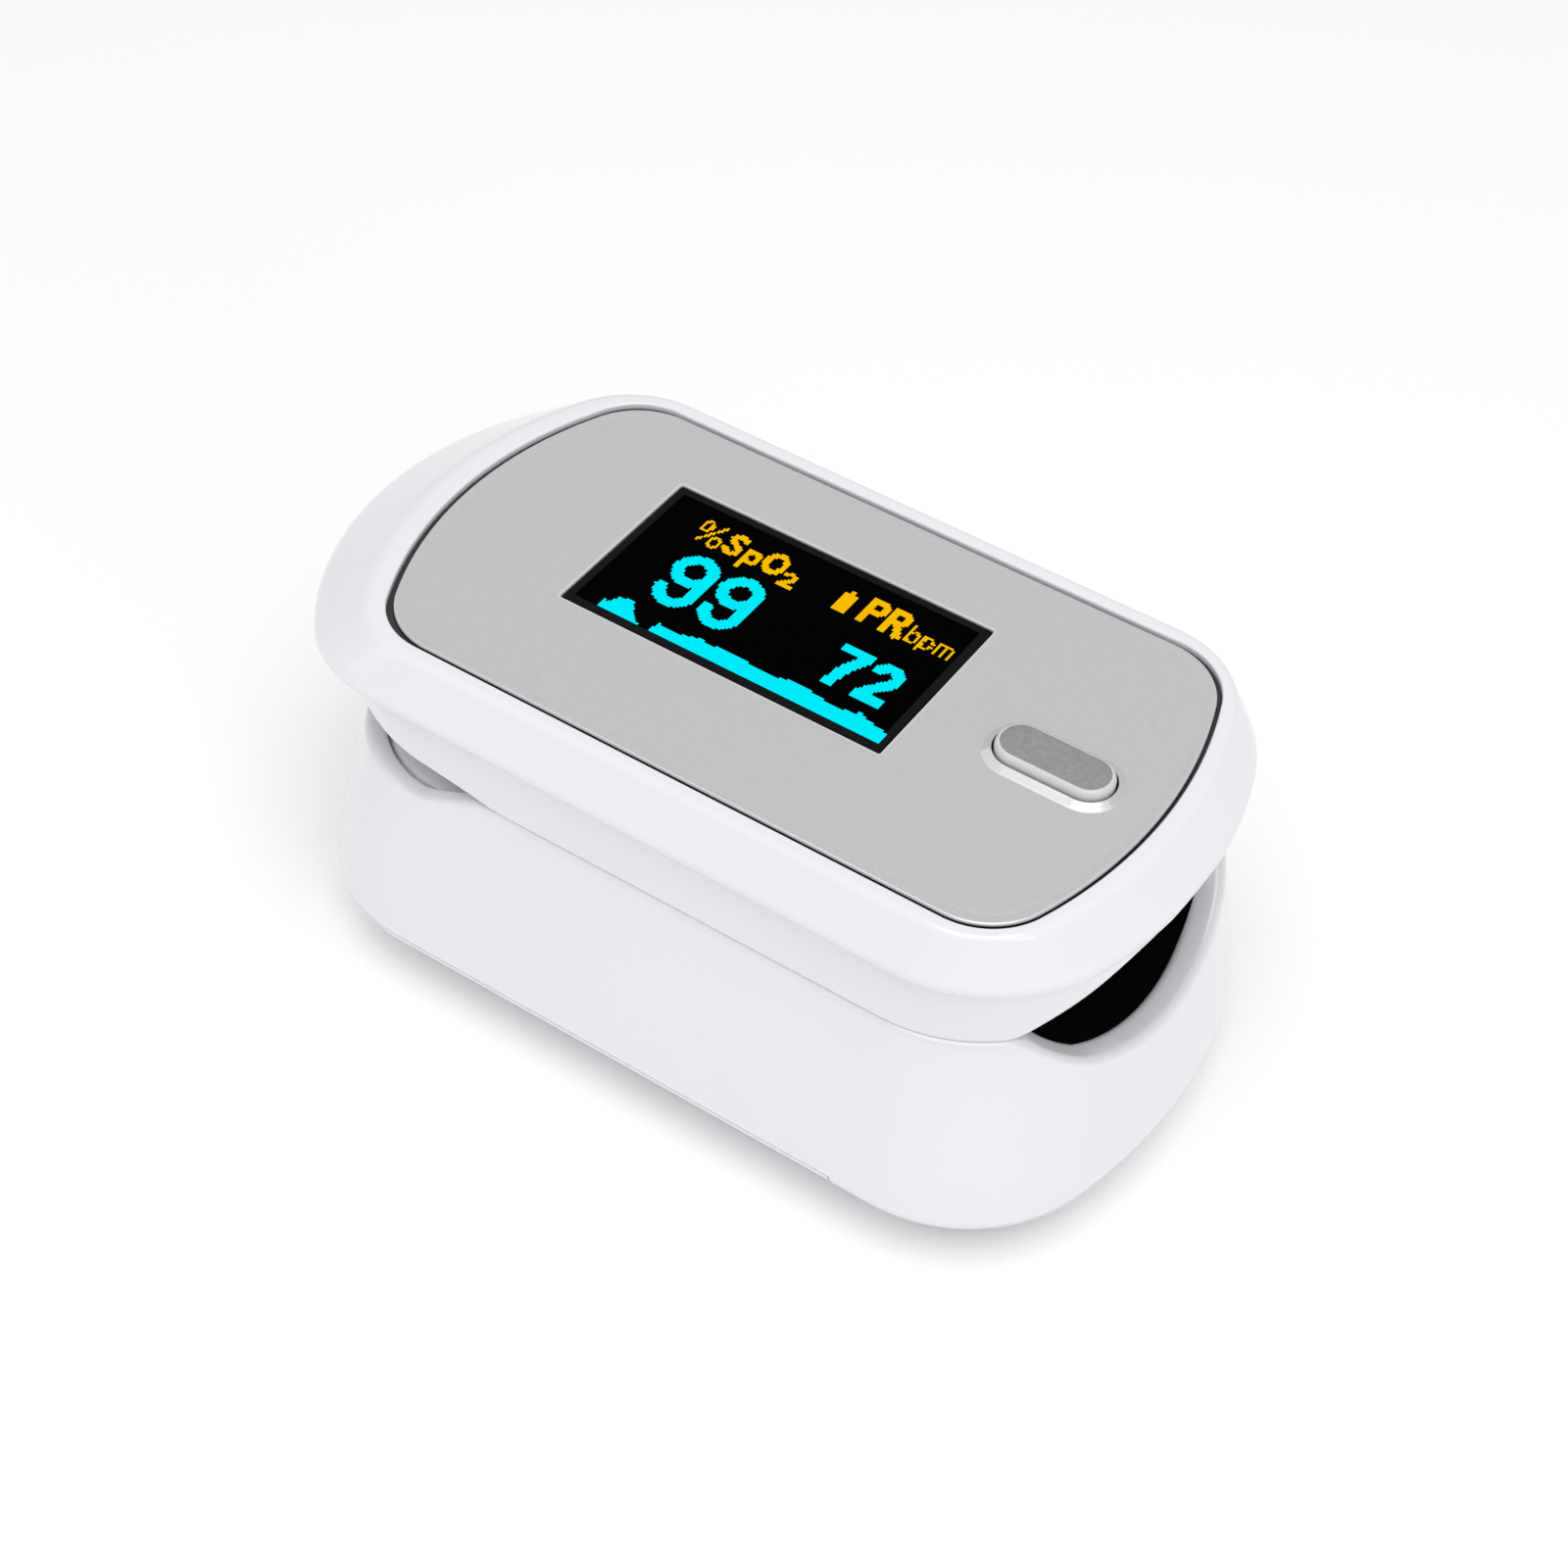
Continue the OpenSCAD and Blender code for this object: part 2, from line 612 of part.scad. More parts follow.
// A cell with its positive nub, lying along X from a place, pointing forwards or backwards
module cell(x, y, forward) {
    translate([x, y, cell_z]) mirror([forward ? 0 : 1, 0, 0]) rotate([0, 90, 0]) {
        cylinder(h = cell_length - 0.9, d = cell_d);
        cylinder(h = cell_length, d = 3.8);
    }
}
module battery_left() {
    color("gold") cell(bay_x0 + contact_t + cell_length, cell_y, false);
}
module battery_right() {
    color("gold") cell(bay_x0 + contact_t + cell_spring_length, -cell_y, true);
}
module battery_springs() {
    wire = 0.5;
    pitch = (cell_spring_length - wire - 0.06) / 2;
    color("silver") {
        translate([bay_x0 + contact_t + wire / 2 + 0.03, -cell_y, cell_z]) rotate([0, 90, 0])
            coil(3.4, wire, pitch, 2, 1.6);
        translate([bay_x1 - contact_t - wire / 2 - 0.03, cell_y, cell_z]) rotate([0, -90, 0])
            coil(3.4, wire, pitch, 2, 1.6);
    }
}
module rear_contacts() {
    color("silver") for (s = [-1, 1])
        block(bay_x0 + contact_t / 2, s * cell_y, contact_t, contact_w, cell_z - 4, 8);
}
module bridge_contact() {
    color("silver")
        block(bay_x1 - contact_t / 2, 0, contact_t, 2 * cell_y + contact_w, cell_z - 4, 8);
}
module battery_cover() {
    color("white") difference() {
        union() {
            difference() {
                lower_body(0);
                translate([0, 0, 0.01]) lower_body(shell_wall);
                loft([[inset(foot_o, 1), floor_wall], [inset(belly_o, 1.6), floor_wall + belly_height]]);
            }
            intersection() {
                lower_body(0.3);
                span(-half_l, half_l, 0, floor_wall);
            }
            for (s = [0, 1]) mirror([0, s, 0]) cover_rail();
        }
        span(-body_length, body_length, cover_z - cover_gap, top_z);
        span(cover_x1 - cover_gap, body_length, -1, top_z);
    }
}
// Rail on the cover that hooks over the ledge of the battery bay
module cover_rail() {
    inner = bay_half + bay_wall + rail_gap;
    hook_z = ledge_z + ledge_t + rail_gap;
    low = floor_wall - 0.2;
    length = cover_x1 - bay_x0 - 2;
    x = bay_x0 + 1 + length / 2;
    block(x, inner + ledge_w + rail_t / 2, length, rail_t, low, hook_z + rail_hook_t - low);
    block(x, inner + (ledge_w + rail_t) / 2, length, ledge_w + rail_t, hook_z, rail_hook_t);
}
module lower_screws() {
    color("silver") at_lower_screws(shelf_z - head_t) screw(5);
}
module hinge_pin() {
    reach = knuckle_y + 1.5 * knuckle_w + 0.5;
    color("silver") bar_y(pin_d / 2, -reach, reach);
}
// Torsion spring round the pin, from one place along it. One leg stands up to the upper
// frame and the other down to the lower frame.
module torsion_spring(y0) {
    color("silver") translate([hinge_x, y0, split_z]) rotate([-90, 0, 0])
        coil(coil_r, hinge_wire_d, coil_pitch, hinge_turns, 0,
            roof_z - split_z - 0.03, split_z - low_flange_z - 0.03);
}
module left_torsion_spring() {
    torsion_spring(spring_y);
}
module right_torsion_spring() {
    torsion_spring(-spring_y - hinge_turns * coil_pitch);
}
// Flat cable from the sensor, under the trough and up behind the hinge to the main board
module flat_cable() {
    x1 = sensor_x - sensor_board_length / 2;
    x0 = cable_x - 0.1;
    low = trough_z - pad_t - 1.5;
    high = board_z - 0.02;
    color("orange") translate([0, cable_width / 2, 0]) rotate([90, 0, 0]) linear_extrude(cable_width)
        polygon([[x1, low], [x0, low], [x0, high], [x0 + cable_t, high], [x0 + cable_t, low + cable_t],
            [x1, low + cable_t]]);
}

top_cover();
faceplate();
display_window();
display_gasket();
display_module();
display_ribbon();
main_board();
board_chips();
switch_body();
switch_plunger();
power_button();
upper_frame();
upper_finger_pad();
emitter_board();
emitter_led();
upper_screws();
lower_case();
lower_frame();
lower_finger_pad();
sensor_board();
photodiode();
battery_left();
battery_right();
battery_springs();
rear_contacts();
bridge_contact();
battery_cover();
lower_screws();
hinge_pin();
left_torsion_spring();
right_torsion_spring();
flat_cable();
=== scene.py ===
import math

import bmesh
import bpy
import numpy as np
from mathutils import Matrix, Vector


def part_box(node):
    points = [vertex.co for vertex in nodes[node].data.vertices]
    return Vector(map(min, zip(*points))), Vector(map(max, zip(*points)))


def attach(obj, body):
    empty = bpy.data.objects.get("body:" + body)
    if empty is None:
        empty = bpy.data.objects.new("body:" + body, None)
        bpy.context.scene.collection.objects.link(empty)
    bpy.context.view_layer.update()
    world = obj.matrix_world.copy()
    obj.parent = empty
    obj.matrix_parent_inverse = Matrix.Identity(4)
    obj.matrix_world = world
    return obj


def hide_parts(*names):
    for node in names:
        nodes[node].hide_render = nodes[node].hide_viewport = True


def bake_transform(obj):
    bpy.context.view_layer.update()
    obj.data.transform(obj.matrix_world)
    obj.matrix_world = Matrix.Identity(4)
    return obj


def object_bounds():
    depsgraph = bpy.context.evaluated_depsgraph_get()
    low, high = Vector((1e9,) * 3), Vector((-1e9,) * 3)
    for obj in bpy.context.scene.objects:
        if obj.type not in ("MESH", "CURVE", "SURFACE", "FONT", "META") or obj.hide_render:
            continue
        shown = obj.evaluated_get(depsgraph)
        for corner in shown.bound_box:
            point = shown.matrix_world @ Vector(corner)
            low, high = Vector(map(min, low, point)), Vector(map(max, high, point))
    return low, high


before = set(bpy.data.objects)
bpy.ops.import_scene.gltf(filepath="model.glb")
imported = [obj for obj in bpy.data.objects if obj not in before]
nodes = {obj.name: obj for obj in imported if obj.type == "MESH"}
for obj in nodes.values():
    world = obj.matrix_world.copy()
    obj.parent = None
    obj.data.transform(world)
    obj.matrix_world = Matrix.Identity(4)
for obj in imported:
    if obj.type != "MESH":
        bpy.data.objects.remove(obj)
cad_low, cad_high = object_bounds()
MM = 0.001


def cad_box(node):
    """Lowest and highest corner of a CAD node in millimetres."""
    low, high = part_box(node)
    return np.array(low) / MM, np.array(high) / MM


# ---------------------------------------------------------------- camera

AZIMUTH, ELEVATION, ROLL = (math.radians(a) for a in (32.566, 45.835, -2.203))
EYE = Vector((78.26, -121.04, 164.70)) * MM
LENS, SENSOR = 69.966, 36


def make_camera():
    """Camera at the viewing angle, with its roll about the line of sight."""
    back = Vector((
        math.sin(AZIMUTH) * math.cos(ELEVATION),
        -math.cos(AZIMUTH) * math.cos(ELEVATION),
        math.sin(ELEVATION),
    ))
    level = Vector((0, 0, 1)).cross(back).normalized()
    above = back.cross(level)
    right = level * math.cos(ROLL) - above * math.sin(ROLL)
    up = level * math.sin(ROLL) + above * math.cos(ROLL)
    data = bpy.data.cameras.new("camera")
    data.lens, data.sensor_width = LENS, SENSOR
    data.clip_start, data.clip_end = 0.01, 10
    camera = bpy.data.objects.new("camera", data)
    turn = Matrix((right, up, back)).transposed()
    camera.matrix_world = Matrix.Translation(EYE) @ turn.to_4x4()
    bpy.context.scene.collection.objects.link(camera)
    bpy.context.scene.camera = camera
    bpy.context.scene.view_settings.view_transform = "Standard"


make_camera()


# ---------------------------------------------------------------- sizes, from the CAD

cover_low = cad_box("top_cover")[0]
case_high = cad_box("lower_case")[1]
plate_high = cad_box("faceplate")[1]
window_low, window_high = cad_box("display_window")
gasket_low, gasket_high = cad_box("display_gasket")
button_low, button_high = cad_box("power_button")
pin_low, pin_high = cad_box("hinge_pin")
floor_high = cad_box("battery_cover")[1]
lower_pad_low = cad_box("lower_finger_pad")[0]
upper_pad_low = cad_box("upper_finger_pad")[0]

HALF_L, HALF_W = cad_high[0] / MM, cad_high[1] / MM
SPLIT = case_high[2]                # the two jaws meet here
PARTING = cover_low[2]              # the cover sits on the upper frame here
TOP = plate_high[2]
WIDE = TOP - 3.6                    # widest height of the cover
BELLY = 5.2                         # widest height of the lower jaw
WALL, FLOOR = 1.5, 1.2
HINGE_X = (pin_low[0] + pin_high[0]) / 2
SEAM_Z = floor_high[2] + 0.35       # top and front of the battery cover's seam
SEAM_X = floor_high[0] + 0.15
JAW_GAP, FRONT_GAP = 0.3, 0.04      # between the jaws, behind and ahead of the hinge
REAR_SLOPE = math.tan(math.radians(9))
REAR_DROP = 1.9
MOUTH_HALF, MOUTH_DEPTH, MOUTH_HEIGHT = 12.7, 5.7, 5.9
MOUTH_X = HALF_L - 16               # ahead of this the rims follow the mouth
LIP_EXTRA = 0.7                     # extra thickness of the lower jaw's lip
CHANNEL_HALF, TROUGH_DEPTH, ARCH_HEIGHT = 11.5, 5.6, 3.4
PAD_T = 1.0
FLANGE_HALF = 14.2                  # half width of a pad's flange
SENSOR_X, SENSOR_WINDOW = 6, 4.0
SHARP, PLATE_SHARP = 32, 24         # angles in degrees past which an edge stays sharp

# Outlines: reach to the front and the rear, half width, what the front and rear arcs' radii
# add to the half width, and the corner radii at the front and the rear
BELLY_O = [HALF_L, HALF_L - 2, HALF_W, 18.7, 18.2, 11.5, 11.2]
FOOT_O = [HALF_L - 4, HALF_L - 6.3, HALF_W - 5, 18.7, 18.2, 8, 8]
RIM_O = [HALF_L - 2.15, HALF_L - 4.8, HALF_W - 2.35, 13, 8, 11.3, 10]
PARTING_O = [HALF_L - 1.1, HALF_L - 1.2, HALF_W - 2, 13, 5, 11.3, 9.9]
WIDE_O = [HALF_L - 0.95, HALF_L, HALF_W - 1.25, 13, 4.5, 10.6, 9.0]
LIP_O = [HALF_L - 3.1, HALF_L - 5.7, HALF_W - 2.9, 15, 10, 7, 7]
PLATE_O = [HALF_L - 4.2, HALF_L - 7.3, HALF_W - 3.95, 17.8, 12, 5.2, 5.0]
FACE_O = [HALF_L - 4.5, HALF_L - 7.75, HALF_W - 4.27, 17.8, 12, 5.2, 5.4]
HATCH_O = [25.6, 15.4, 11.8, 60, 60, 2.5, 2.5]


# ---------------------------------------------------------------- shapes

def quarter(a, half, extra, corner, end_n, corner_n):
    """From the middle of an end, along its arc and round the corner, to the side."""
    big = half + extra
    cx, yc = a - big, half - corner
    xc = cx + math.sqrt((big - corner) ** 2 - yc ** 2)
    turn = math.atan2(yc, xc - cx)
    t = np.linspace(0, turn, end_n + 1)
    c = np.linspace(turn, math.pi / 2, corner_n + 1)[1:]
    arc = np.c_[cx + big * np.cos(t), big * np.sin(t)]
    bend = np.c_[xc + corner * np.cos(c), yc + corner * np.sin(c)]
    return np.vstack([arc, bend])


def outline(o, end_n=14, corner_n=24, side_n=28):
    """A closed outline, counter-clockwise from the middle of the front."""
    front = quarter(o[0], o[2], o[3], o[5], end_n, corner_n)
    rear = quarter(o[1], o[2], o[4], o[6], end_n, corner_n)[::-1] * [-1, 1]
    side = np.linspace(front[-1], rear[0], side_n + 1)[1:-1]
    half = np.vstack([front, side, rear])
    return np.vstack([half, half[-2:0:-1] * [1, -1]])


def inset(o, d):
    """The outline moved inwards by d."""
    return [o[0] - d, o[1] - d, o[2] - d, o[3], o[4], max(o[5] - d, 0.3), max(o[6] - d, 0.3)]


def mix(a, b, t):
    """The outline part of the way from a to b."""
    return [p + (q - p) * t for p, q in zip(a, b)]


def rounded(points, radii, steps=6):
    """A path through points with its corners rounded. The last two values of a point,
    width and height, say how far apart two points are."""
    pts = [np.array(p, float) for p in points]
    path = []
    for i, p in enumerate(pts):
        r = radii[i]
        if not r or i in (0, len(pts) - 1):
            path.append(p)
            continue
        a, b = pts[i - 1], pts[i + 1]
        la, lb = (max(np.linalg.norm((q - p)[-2:]), 1e-6) for q in (a, b))
        start, end = p + (a - p) * min(r / la, 0.49), p + (b - p) * min(r / lb, 0.49)
        for t in np.linspace(0, 1, steps + 1):
            path.append((1 - t) ** 2 * start + 2 * t * (1 - t) * p + t * t * end)
    return path


def smooth(t):
    """0 below 0, 1 above 1 and an even curve between."""
    t = np.clip(t, 0, 1)
    return t * t * (3 - 2 * t)


def mesh_object(name, verts, faces, sharp=SHARP, material_of=None):
    """A piece from vertices in millimetres, welded, with its faces pointing outwards."""
    bm = bmesh.new()
    made = [bm.verts.new(Vector(v) * MM) for v in verts]
    for i, f in enumerate(faces):
        try:
            face = bm.faces.new([made[k] for k in f])
        except ValueError:
            continue
        face.smooth = True
        if material_of is not None:
            face.material_index = material_of[i]
    bmesh.ops.remove_doubles(bm, verts=bm.verts, dist=2e-7)
    bmesh.ops.dissolve_degenerate(bm, edges=bm.edges, dist=1e-8)
    bmesh.ops.recalc_face_normals(bm, faces=bm.faces)
    return from_bmesh(name, bm, sharp)


def from_bmesh(name, bm, sharp=SHARP):
    """A piece from a bmesh, linked to the scene."""
    mesh = bpy.data.meshes.new(name)
    bm.to_mesh(mesh)
    bm.free()
    mesh.set_sharp_from_angle(angle=math.radians(sharp))
    obj = bpy.data.objects.new(name, mesh)
    bpy.context.scene.collection.objects.link(obj)
    return obj


def tube_faces(rows, columns, closed_rows=False, start=0):
    """Quads between neighbouring rows of a grid whose columns close on themselves."""
    faces = []
    last = rows if closed_rows else rows - 1
    for j in range(last):
        a, b = start + j * columns, start + ((j + 1) % rows) * columns
        for i in range(columns):
            k = (i + 1) % columns
            faces.append((a + i, a + k, b + k, b + i))
    return faces


def ring(o, z):
    """An outline at one height."""
    flat = outline(o)
    return np.c_[flat, np.full(len(flat), z)]


class Wall:
    """A moulded wall whose outline changes with height, read at any height and depth."""

    def __init__(self, levels, thickness):
        self.heights = np.array([z for _, z in levels])
        self.outer = np.array([outline(o) for o, _ in levels])
        self.inner = np.array([outline(inset(o, thickness)) for o, _ in levels])
        self.thickness = thickness
        self.lip = 0.0
        self.flush = 0.0

    def row(self, heights, depth):
        """One point per place round the wall, at its height and at a depth into the wall."""
        z = np.clip(heights, self.heights[0], self.heights[-1])
        k = np.clip(np.searchsorted(self.heights, z) - 1, 0, len(self.heights) - 2)
        f = ((z - self.heights[k]) / (self.heights[k + 1] - self.heights[k]))[:, None]
        u = np.arange(len(z))
        outer = self.outer[k, u] * (1 - f) + self.outer[k + 1, u] * f
        inner = self.inner[k, u] * (1 - f) + self.inner[k + 1, u] * f
        lip = self.lip * smooth((outer[:, 0] - HALF_L + 9) / 4) * smooth((heights - SPLIT + 9) / 2)
        inner = outer + (inner - outer) * (1 + lip / self.thickness)[:, None]
        rise = smooth((heights - self.heights[0]) / (self.heights[-1] - self.heights[0]))
        out = (outer - inner) / np.linalg.norm(outer - inner, axis=1)[:, None]
        outer = outer + out * (self.flush * rise * smooth((outer[:, 0] - HALF_L + 12) / 6))[:, None]
        share = depth / self.thickness
        return np.c_[outer * (1 - share) + inner * share, heights]


def mouth_radius(half, depth):
    """Radius of an arc with a half width and a depth."""
    return (half * half + depth * depth) / (2 * depth)


def soft_min(a, b, k):
    """The smaller of two curves, with the corner where they cross rounded off."""
    h = np.clip(0.5 + 0.5 * (b - a) / k, 0, 1)
    return b * (1 - h) + a * h - k * h * (1 - h)


def lower_rim(xy):
    """Height of the lower jaw's rim at each place: it drops behind the hinge and at the mouth."""
    x, y = xy[:, 0], xy[:, 1]
    z = SPLIT - REAR_DROP * smooth((HINGE_X - x) / 6)
    r = mouth_radius(MOUTH_HALF, MOUTH_DEPTH)
    arc = SPLIT - MOUTH_DEPTH + r - np.sqrt(np.maximum(r * r - y * y, 0.01))
    return np.where(x > MOUTH_X, soft_min(z, np.minimum(arc, SPLIT + 4), 0.5), z)


def upper_rim(xy):
    """Height of the upper jaw's rim: it rises behind the hinge and arches over the mouth."""
    x, y = xy[:, 0], xy[:, 1]
    gap = FRONT_GAP + (JAW_GAP - FRONT_GAP) * smooth((HINGE_X + 1 - x) / 3)
    z = SPLIT + gap + np.maximum(HINGE_X - x, 0) * REAR_SLOPE
    r = mouth_radius(MOUTH_HALF, MOUTH_HEIGHT)
    arc = SPLIT + MOUTH_HEIGHT - r + np.sqrt(np.maximum(r * r - y * y, 0.01))
    return np.where(x > MOUTH_X, -soft_min(-z, -np.maximum(arc, SPLIT - 4), 0.5), z)


def material_slot(obj, *materials):
    """Sets the materials of a piece, in slot order."""
    if obj.data.materials:
        obj.data.materials.clear()
    for m in materials:
        obj.data.materials.append(m)


def even_normals(obj):
    """Flat faces keep flat shading next to rounded edges."""
    weighted = obj.modifiers.new("even_normals", "WEIGHTED_NORMAL")
    weighted.weight = 50
    weighted.keep_sharp = True


# ---------------------------------------------------------------- materials

class Wire:
    """A socket, so that sums, products and comparisons of values add Math nodes."""

    def __init__(self, tree, socket):
        self.tree, self.socket = tree, socket

    def math(self, operation, *values):
        return self.tree.add("ShaderNodeMath", {"operation": operation},
                             dict(enumerate(values)))

    def __add__(self, other): return self.math("ADD", self, other)
    def __radd__(self, other): return self.math("ADD", other, self)
    def __sub__(self, other): return self.math("SUBTRACT", self, other)
    def __mul__(self, other): return self.math("MULTIPLY", self, other)
    def __gt__(self, other): return self.math("GREATER_THAN", self, other)

    def clamp(self): return self.math("MINIMUM", self.math("MAXIMUM", self, 0.0), 1.0)


class Tree:
    """A material's nodes."""

    def __init__(self, name):
        self.material = bpy.data.materials.new(name)
        self.material.use_nodes = True
        self.nodes = self.material.node_tree.nodes
        self.links = self.material.node_tree.links
        self.shader = self.nodes["Principled BSDF"]

    def fill(self, node, inputs):
        """Sets a node's sockets, or links them where the value is a wire."""
        for key, value in inputs.items():
            socket = node.inputs[key]
            if isinstance(value, Wire):
                self.links.new(value.socket, socket)
            else:
                socket.default_value = value

    def add(self, kind, settings=None, inputs=None, out=0):
        """A node of a kind, with its settings and its sockets' values or links."""
        node = self.nodes.new(kind)
        for key, value in (settings or {}).items():
            setattr(node, key, value)
        self.fill(node, inputs or {})
        return Wire(self, node.outputs[out])

    def place(self):
        return self.add("ShaderNodeTexCoord", out="Object")

    def noise(self, scale, detail=2.0, rough=0.5, vector=None):
        return self.add("ShaderNodeTexNoise", {}, {
            "Vector": vector or self.place(), "Scale": scale, "Detail": detail,
            "Roughness": rough}, out="Fac")

    def shade(self, colour_a, colour_b, factor):
        """A colour between two, by a factor."""
        return self.add("ShaderNodeMix", {"data_type": "RGBA"},
                        {0: factor, 6: (*colour_a, 1), 7: (*colour_b, 1)}, out=2)

    def bump(self, height, strength, distance, normal=None):
        """Relief of a height, over any normal that is already there."""
        inputs = {"Height": height, "Strength": strength, "Distance": distance}
        if normal is not None:
            inputs["Normal"] = normal
        return self.add("ShaderNodeBump", {}, inputs)

    def finish(self, **inputs):
        """Fills the shader, and gives the material."""
        self.fill(self.shader, {k.replace("_", " "): v for k, v in inputs.items()})
        return self.material


def moulded(name, dark, light, roughness, spread, grain, depth, coat=0.0, peel=0.0, **more):
    """Injection-moulded plastic: slow colour drift, uneven gloss, fine grain and flow waves."""
    t = Tree(name)
    drift = t.noise(60, 2)
    fine = t.noise(grain, 3, 0.6)
    slow = t.noise(220, 2)
    normal = t.bump(fine, 0.35, depth * MM)
    if peel:
        normal = t.bump(slow, peel, 0.05 * MM, normal)
    return t.finish(
        Base_Color=t.shade(dark, light, drift),
        Roughness=(roughness + (fine - 0.5) * spread + (slow - 0.5) * spread).clamp(),
        Normal=normal, Coat_Weight=coat, Coat_Roughness=0.04, **more)


def metal(name, dark, light, roughness, grain, along=(1, 1, 1), depth=0.004):
    """Bare or plated metal with drawn or rolled marks along one direction."""
    t = Tree(name)
    stretched = t.add("ShaderNodeMapping", {}, {"Vector": t.place(), "Scale": along})
    marks = t.noise(grain, 4, 0.7, stretched)
    tarnish = t.noise(700, 3, 0.6)
    return t.finish(
        Base_Color=t.shade(dark, light, tarnish), Metallic=1.0,
        Roughness=(roughness + (marks - 0.5) * 0.22 + (tarnish - 0.5) * 0.1).clamp(),
        Normal=t.bump(marks, 0.4, depth * MM))


def satin_plate():
    """Silver paint behind a clear lens: fine metal flake under an even satin."""
    t = Tree("silver_plate")
    flake = t.add("ShaderNodeTexVoronoi", {"feature": "F1"},
                  {"Vector": t.place(), "Scale": 9000.0}, out="Color")
    sparkle = t.add("ShaderNodeSeparateColor", {}, {0: flake}, out=0)
    cloud = t.noise(45, 2)
    return t.finish(
        Base_Color=t.shade((0.555, 0.555, 0.575), (0.60, 0.60, 0.62),
                           (sparkle * 0.75 + cloud * 0.25).clamp()),
        Metallic=0.45, Roughness=(0.40 + (sparkle - 0.5) * 0.10).clamp(),
        Normal=t.bump(sparkle, 0.12, 0.001 * MM), Coat_Weight=0.2, Coat_Roughness=0.12)


white = moulded("white_gloss", (0.755, 0.755, 0.795), (0.785, 0.785, 0.825), 0.17, 0.05, 5200,
                0.004, coat=0.3, peel=0.04)
inner_white = moulded("inner_white", (0.78, 0.78, 0.80), (0.82, 0.82, 0.84), 0.38, 0.1, 4200, 0.01)
silicone = moulded("pad_silicone", (0.0006, 0.0006, 0.0008), (0.0022, 0.0022, 0.0025), 0.8, 0.14,
                   6500, 0.012, Specular_IOR_Level=0.03)
plate_face = satin_plate()
# The plate's polished bevels, painted lighter than the face as a painted highlight.
polished_edge_highlight = moulded("polished_edge_highlight", (0.60, 0.60, 0.62), (0.68, 0.68, 0.70), 0.36, 0.1, 4000, 0.003,
                     Metallic=0.35)
# Near-black painted shade for the plate's side and the button hole's inner wall, standing in for
# the dark gaps round them.
painted_gap_shade = moulded("painted_gap_shade", (0.012, 0.012, 0.014), (0.02, 0.02, 0.024), 0.45, 0.1, 4000, 0.004)
# A lighter silver painted on the collar's near side only: a painted highlight where its slope faces
# the light.
collar_painted_highlight = moulded("collar_painted_highlight", (0.66, 0.66, 0.68), (0.74, 0.74, 0.76), 0.30, 0.08, 4000,
                        0.003, Metallic=0.3)
button_rim = moulded("button_rim", (0.58, 0.585, 0.58), (0.65, 0.655, 0.65), 0.40, 0.1, 4200, 0.012)
steel = metal("screw_steel", (0.46, 0.46, 0.47), (0.60, 0.60, 0.61), 0.30, 5200)
nickel = metal("spring_nickel", (0.58, 0.56, 0.51), (0.74, 0.72, 0.67), 0.22, 6000)
pin_steel = metal("pin_steel", (0.50, 0.50, 0.52), (0.64, 0.64, 0.66), 0.24, 3500, (1, 0.05, 1))


def speckled_button():
    """Grey soft-touch plastic with fine pits."""
    t = Tree("button_grey")
    grain = t.noise(2600, 3, 0.65)
    pits = t.add("ShaderNodeTexVoronoi", {"feature": "F1"},
                 {"Vector": t.place(), "Scale": 5200.0}, out="Distance")
    return t.finish(
        Base_Color=t.shade((0.18, 0.186, 0.182), (0.33, 0.340, 0.334), grain),
        Roughness=(0.62 + (grain - 0.5) * 0.2).clamp(), Specular_IOR_Level=0.3,
        Normal=t.bump(pits, 0.5, 0.02 * MM))


button_top = speckled_button()


def dark_glass():
    """A dead-front lens: black ink behind a clear hard coat, a shade lighter in its border."""
    t = Tree("window_glass")
    smudge = t.noise(130, 3)
    grain = t.noise(2400, 2)
    return t.finish(Base_Color=t.shade((0.0002, 0.0002, 0.0003), (0.0008, 0.0008, 0.001), grain),
                    Specular_IOR_Level=0.004, Roughness=(0.16 + smudge * 0.08).clamp(),
                    Normal=t.bump(smudge, 0.1, 0.004 * MM))


def lit(name, colour, deep, strength):
    """Glowing dots, a little uneven from dot to dot."""
    t = Tree(name)
    uneven = t.noise(900, 1)
    return t.finish(Base_Color=(0.0, 0.0, 0.0, 1), Roughness=0.5, Specular_IOR_Level=0.0,
                    Emission_Color=t.shade(deep, colour, uneven), Emission_Strength=strength)


glass = dark_glass()
border_ink = moulded("border_ink", (0.003, 0.003, 0.0035), (0.006, 0.006, 0.007), 0.35, 0.08, 4000,
                     0.002, Specular_IOR_Level=0.06)
amber = lit("amber_dots", (1.0, 0.62, 0.0), (1.0, 0.44, 0.0), 1.0)
cyan = lit("cyan_dots", (0.0, 0.93, 1.0), (0.0, 0.82, 1.0), 1.0)
panel_black = moulded("panel_black", (0.002, 0.002, 0.003), (0.004, 0.004, 0.005), 0.12, 0.03, 3000,
                      0.002)
mask_black = moulded("mask_black", (0.008, 0.008, 0.009), (0.013, 0.013, 0.014), 0.5, 0.1, 5000,
                     0.01)


# ---------------------------------------------------------------- top cover

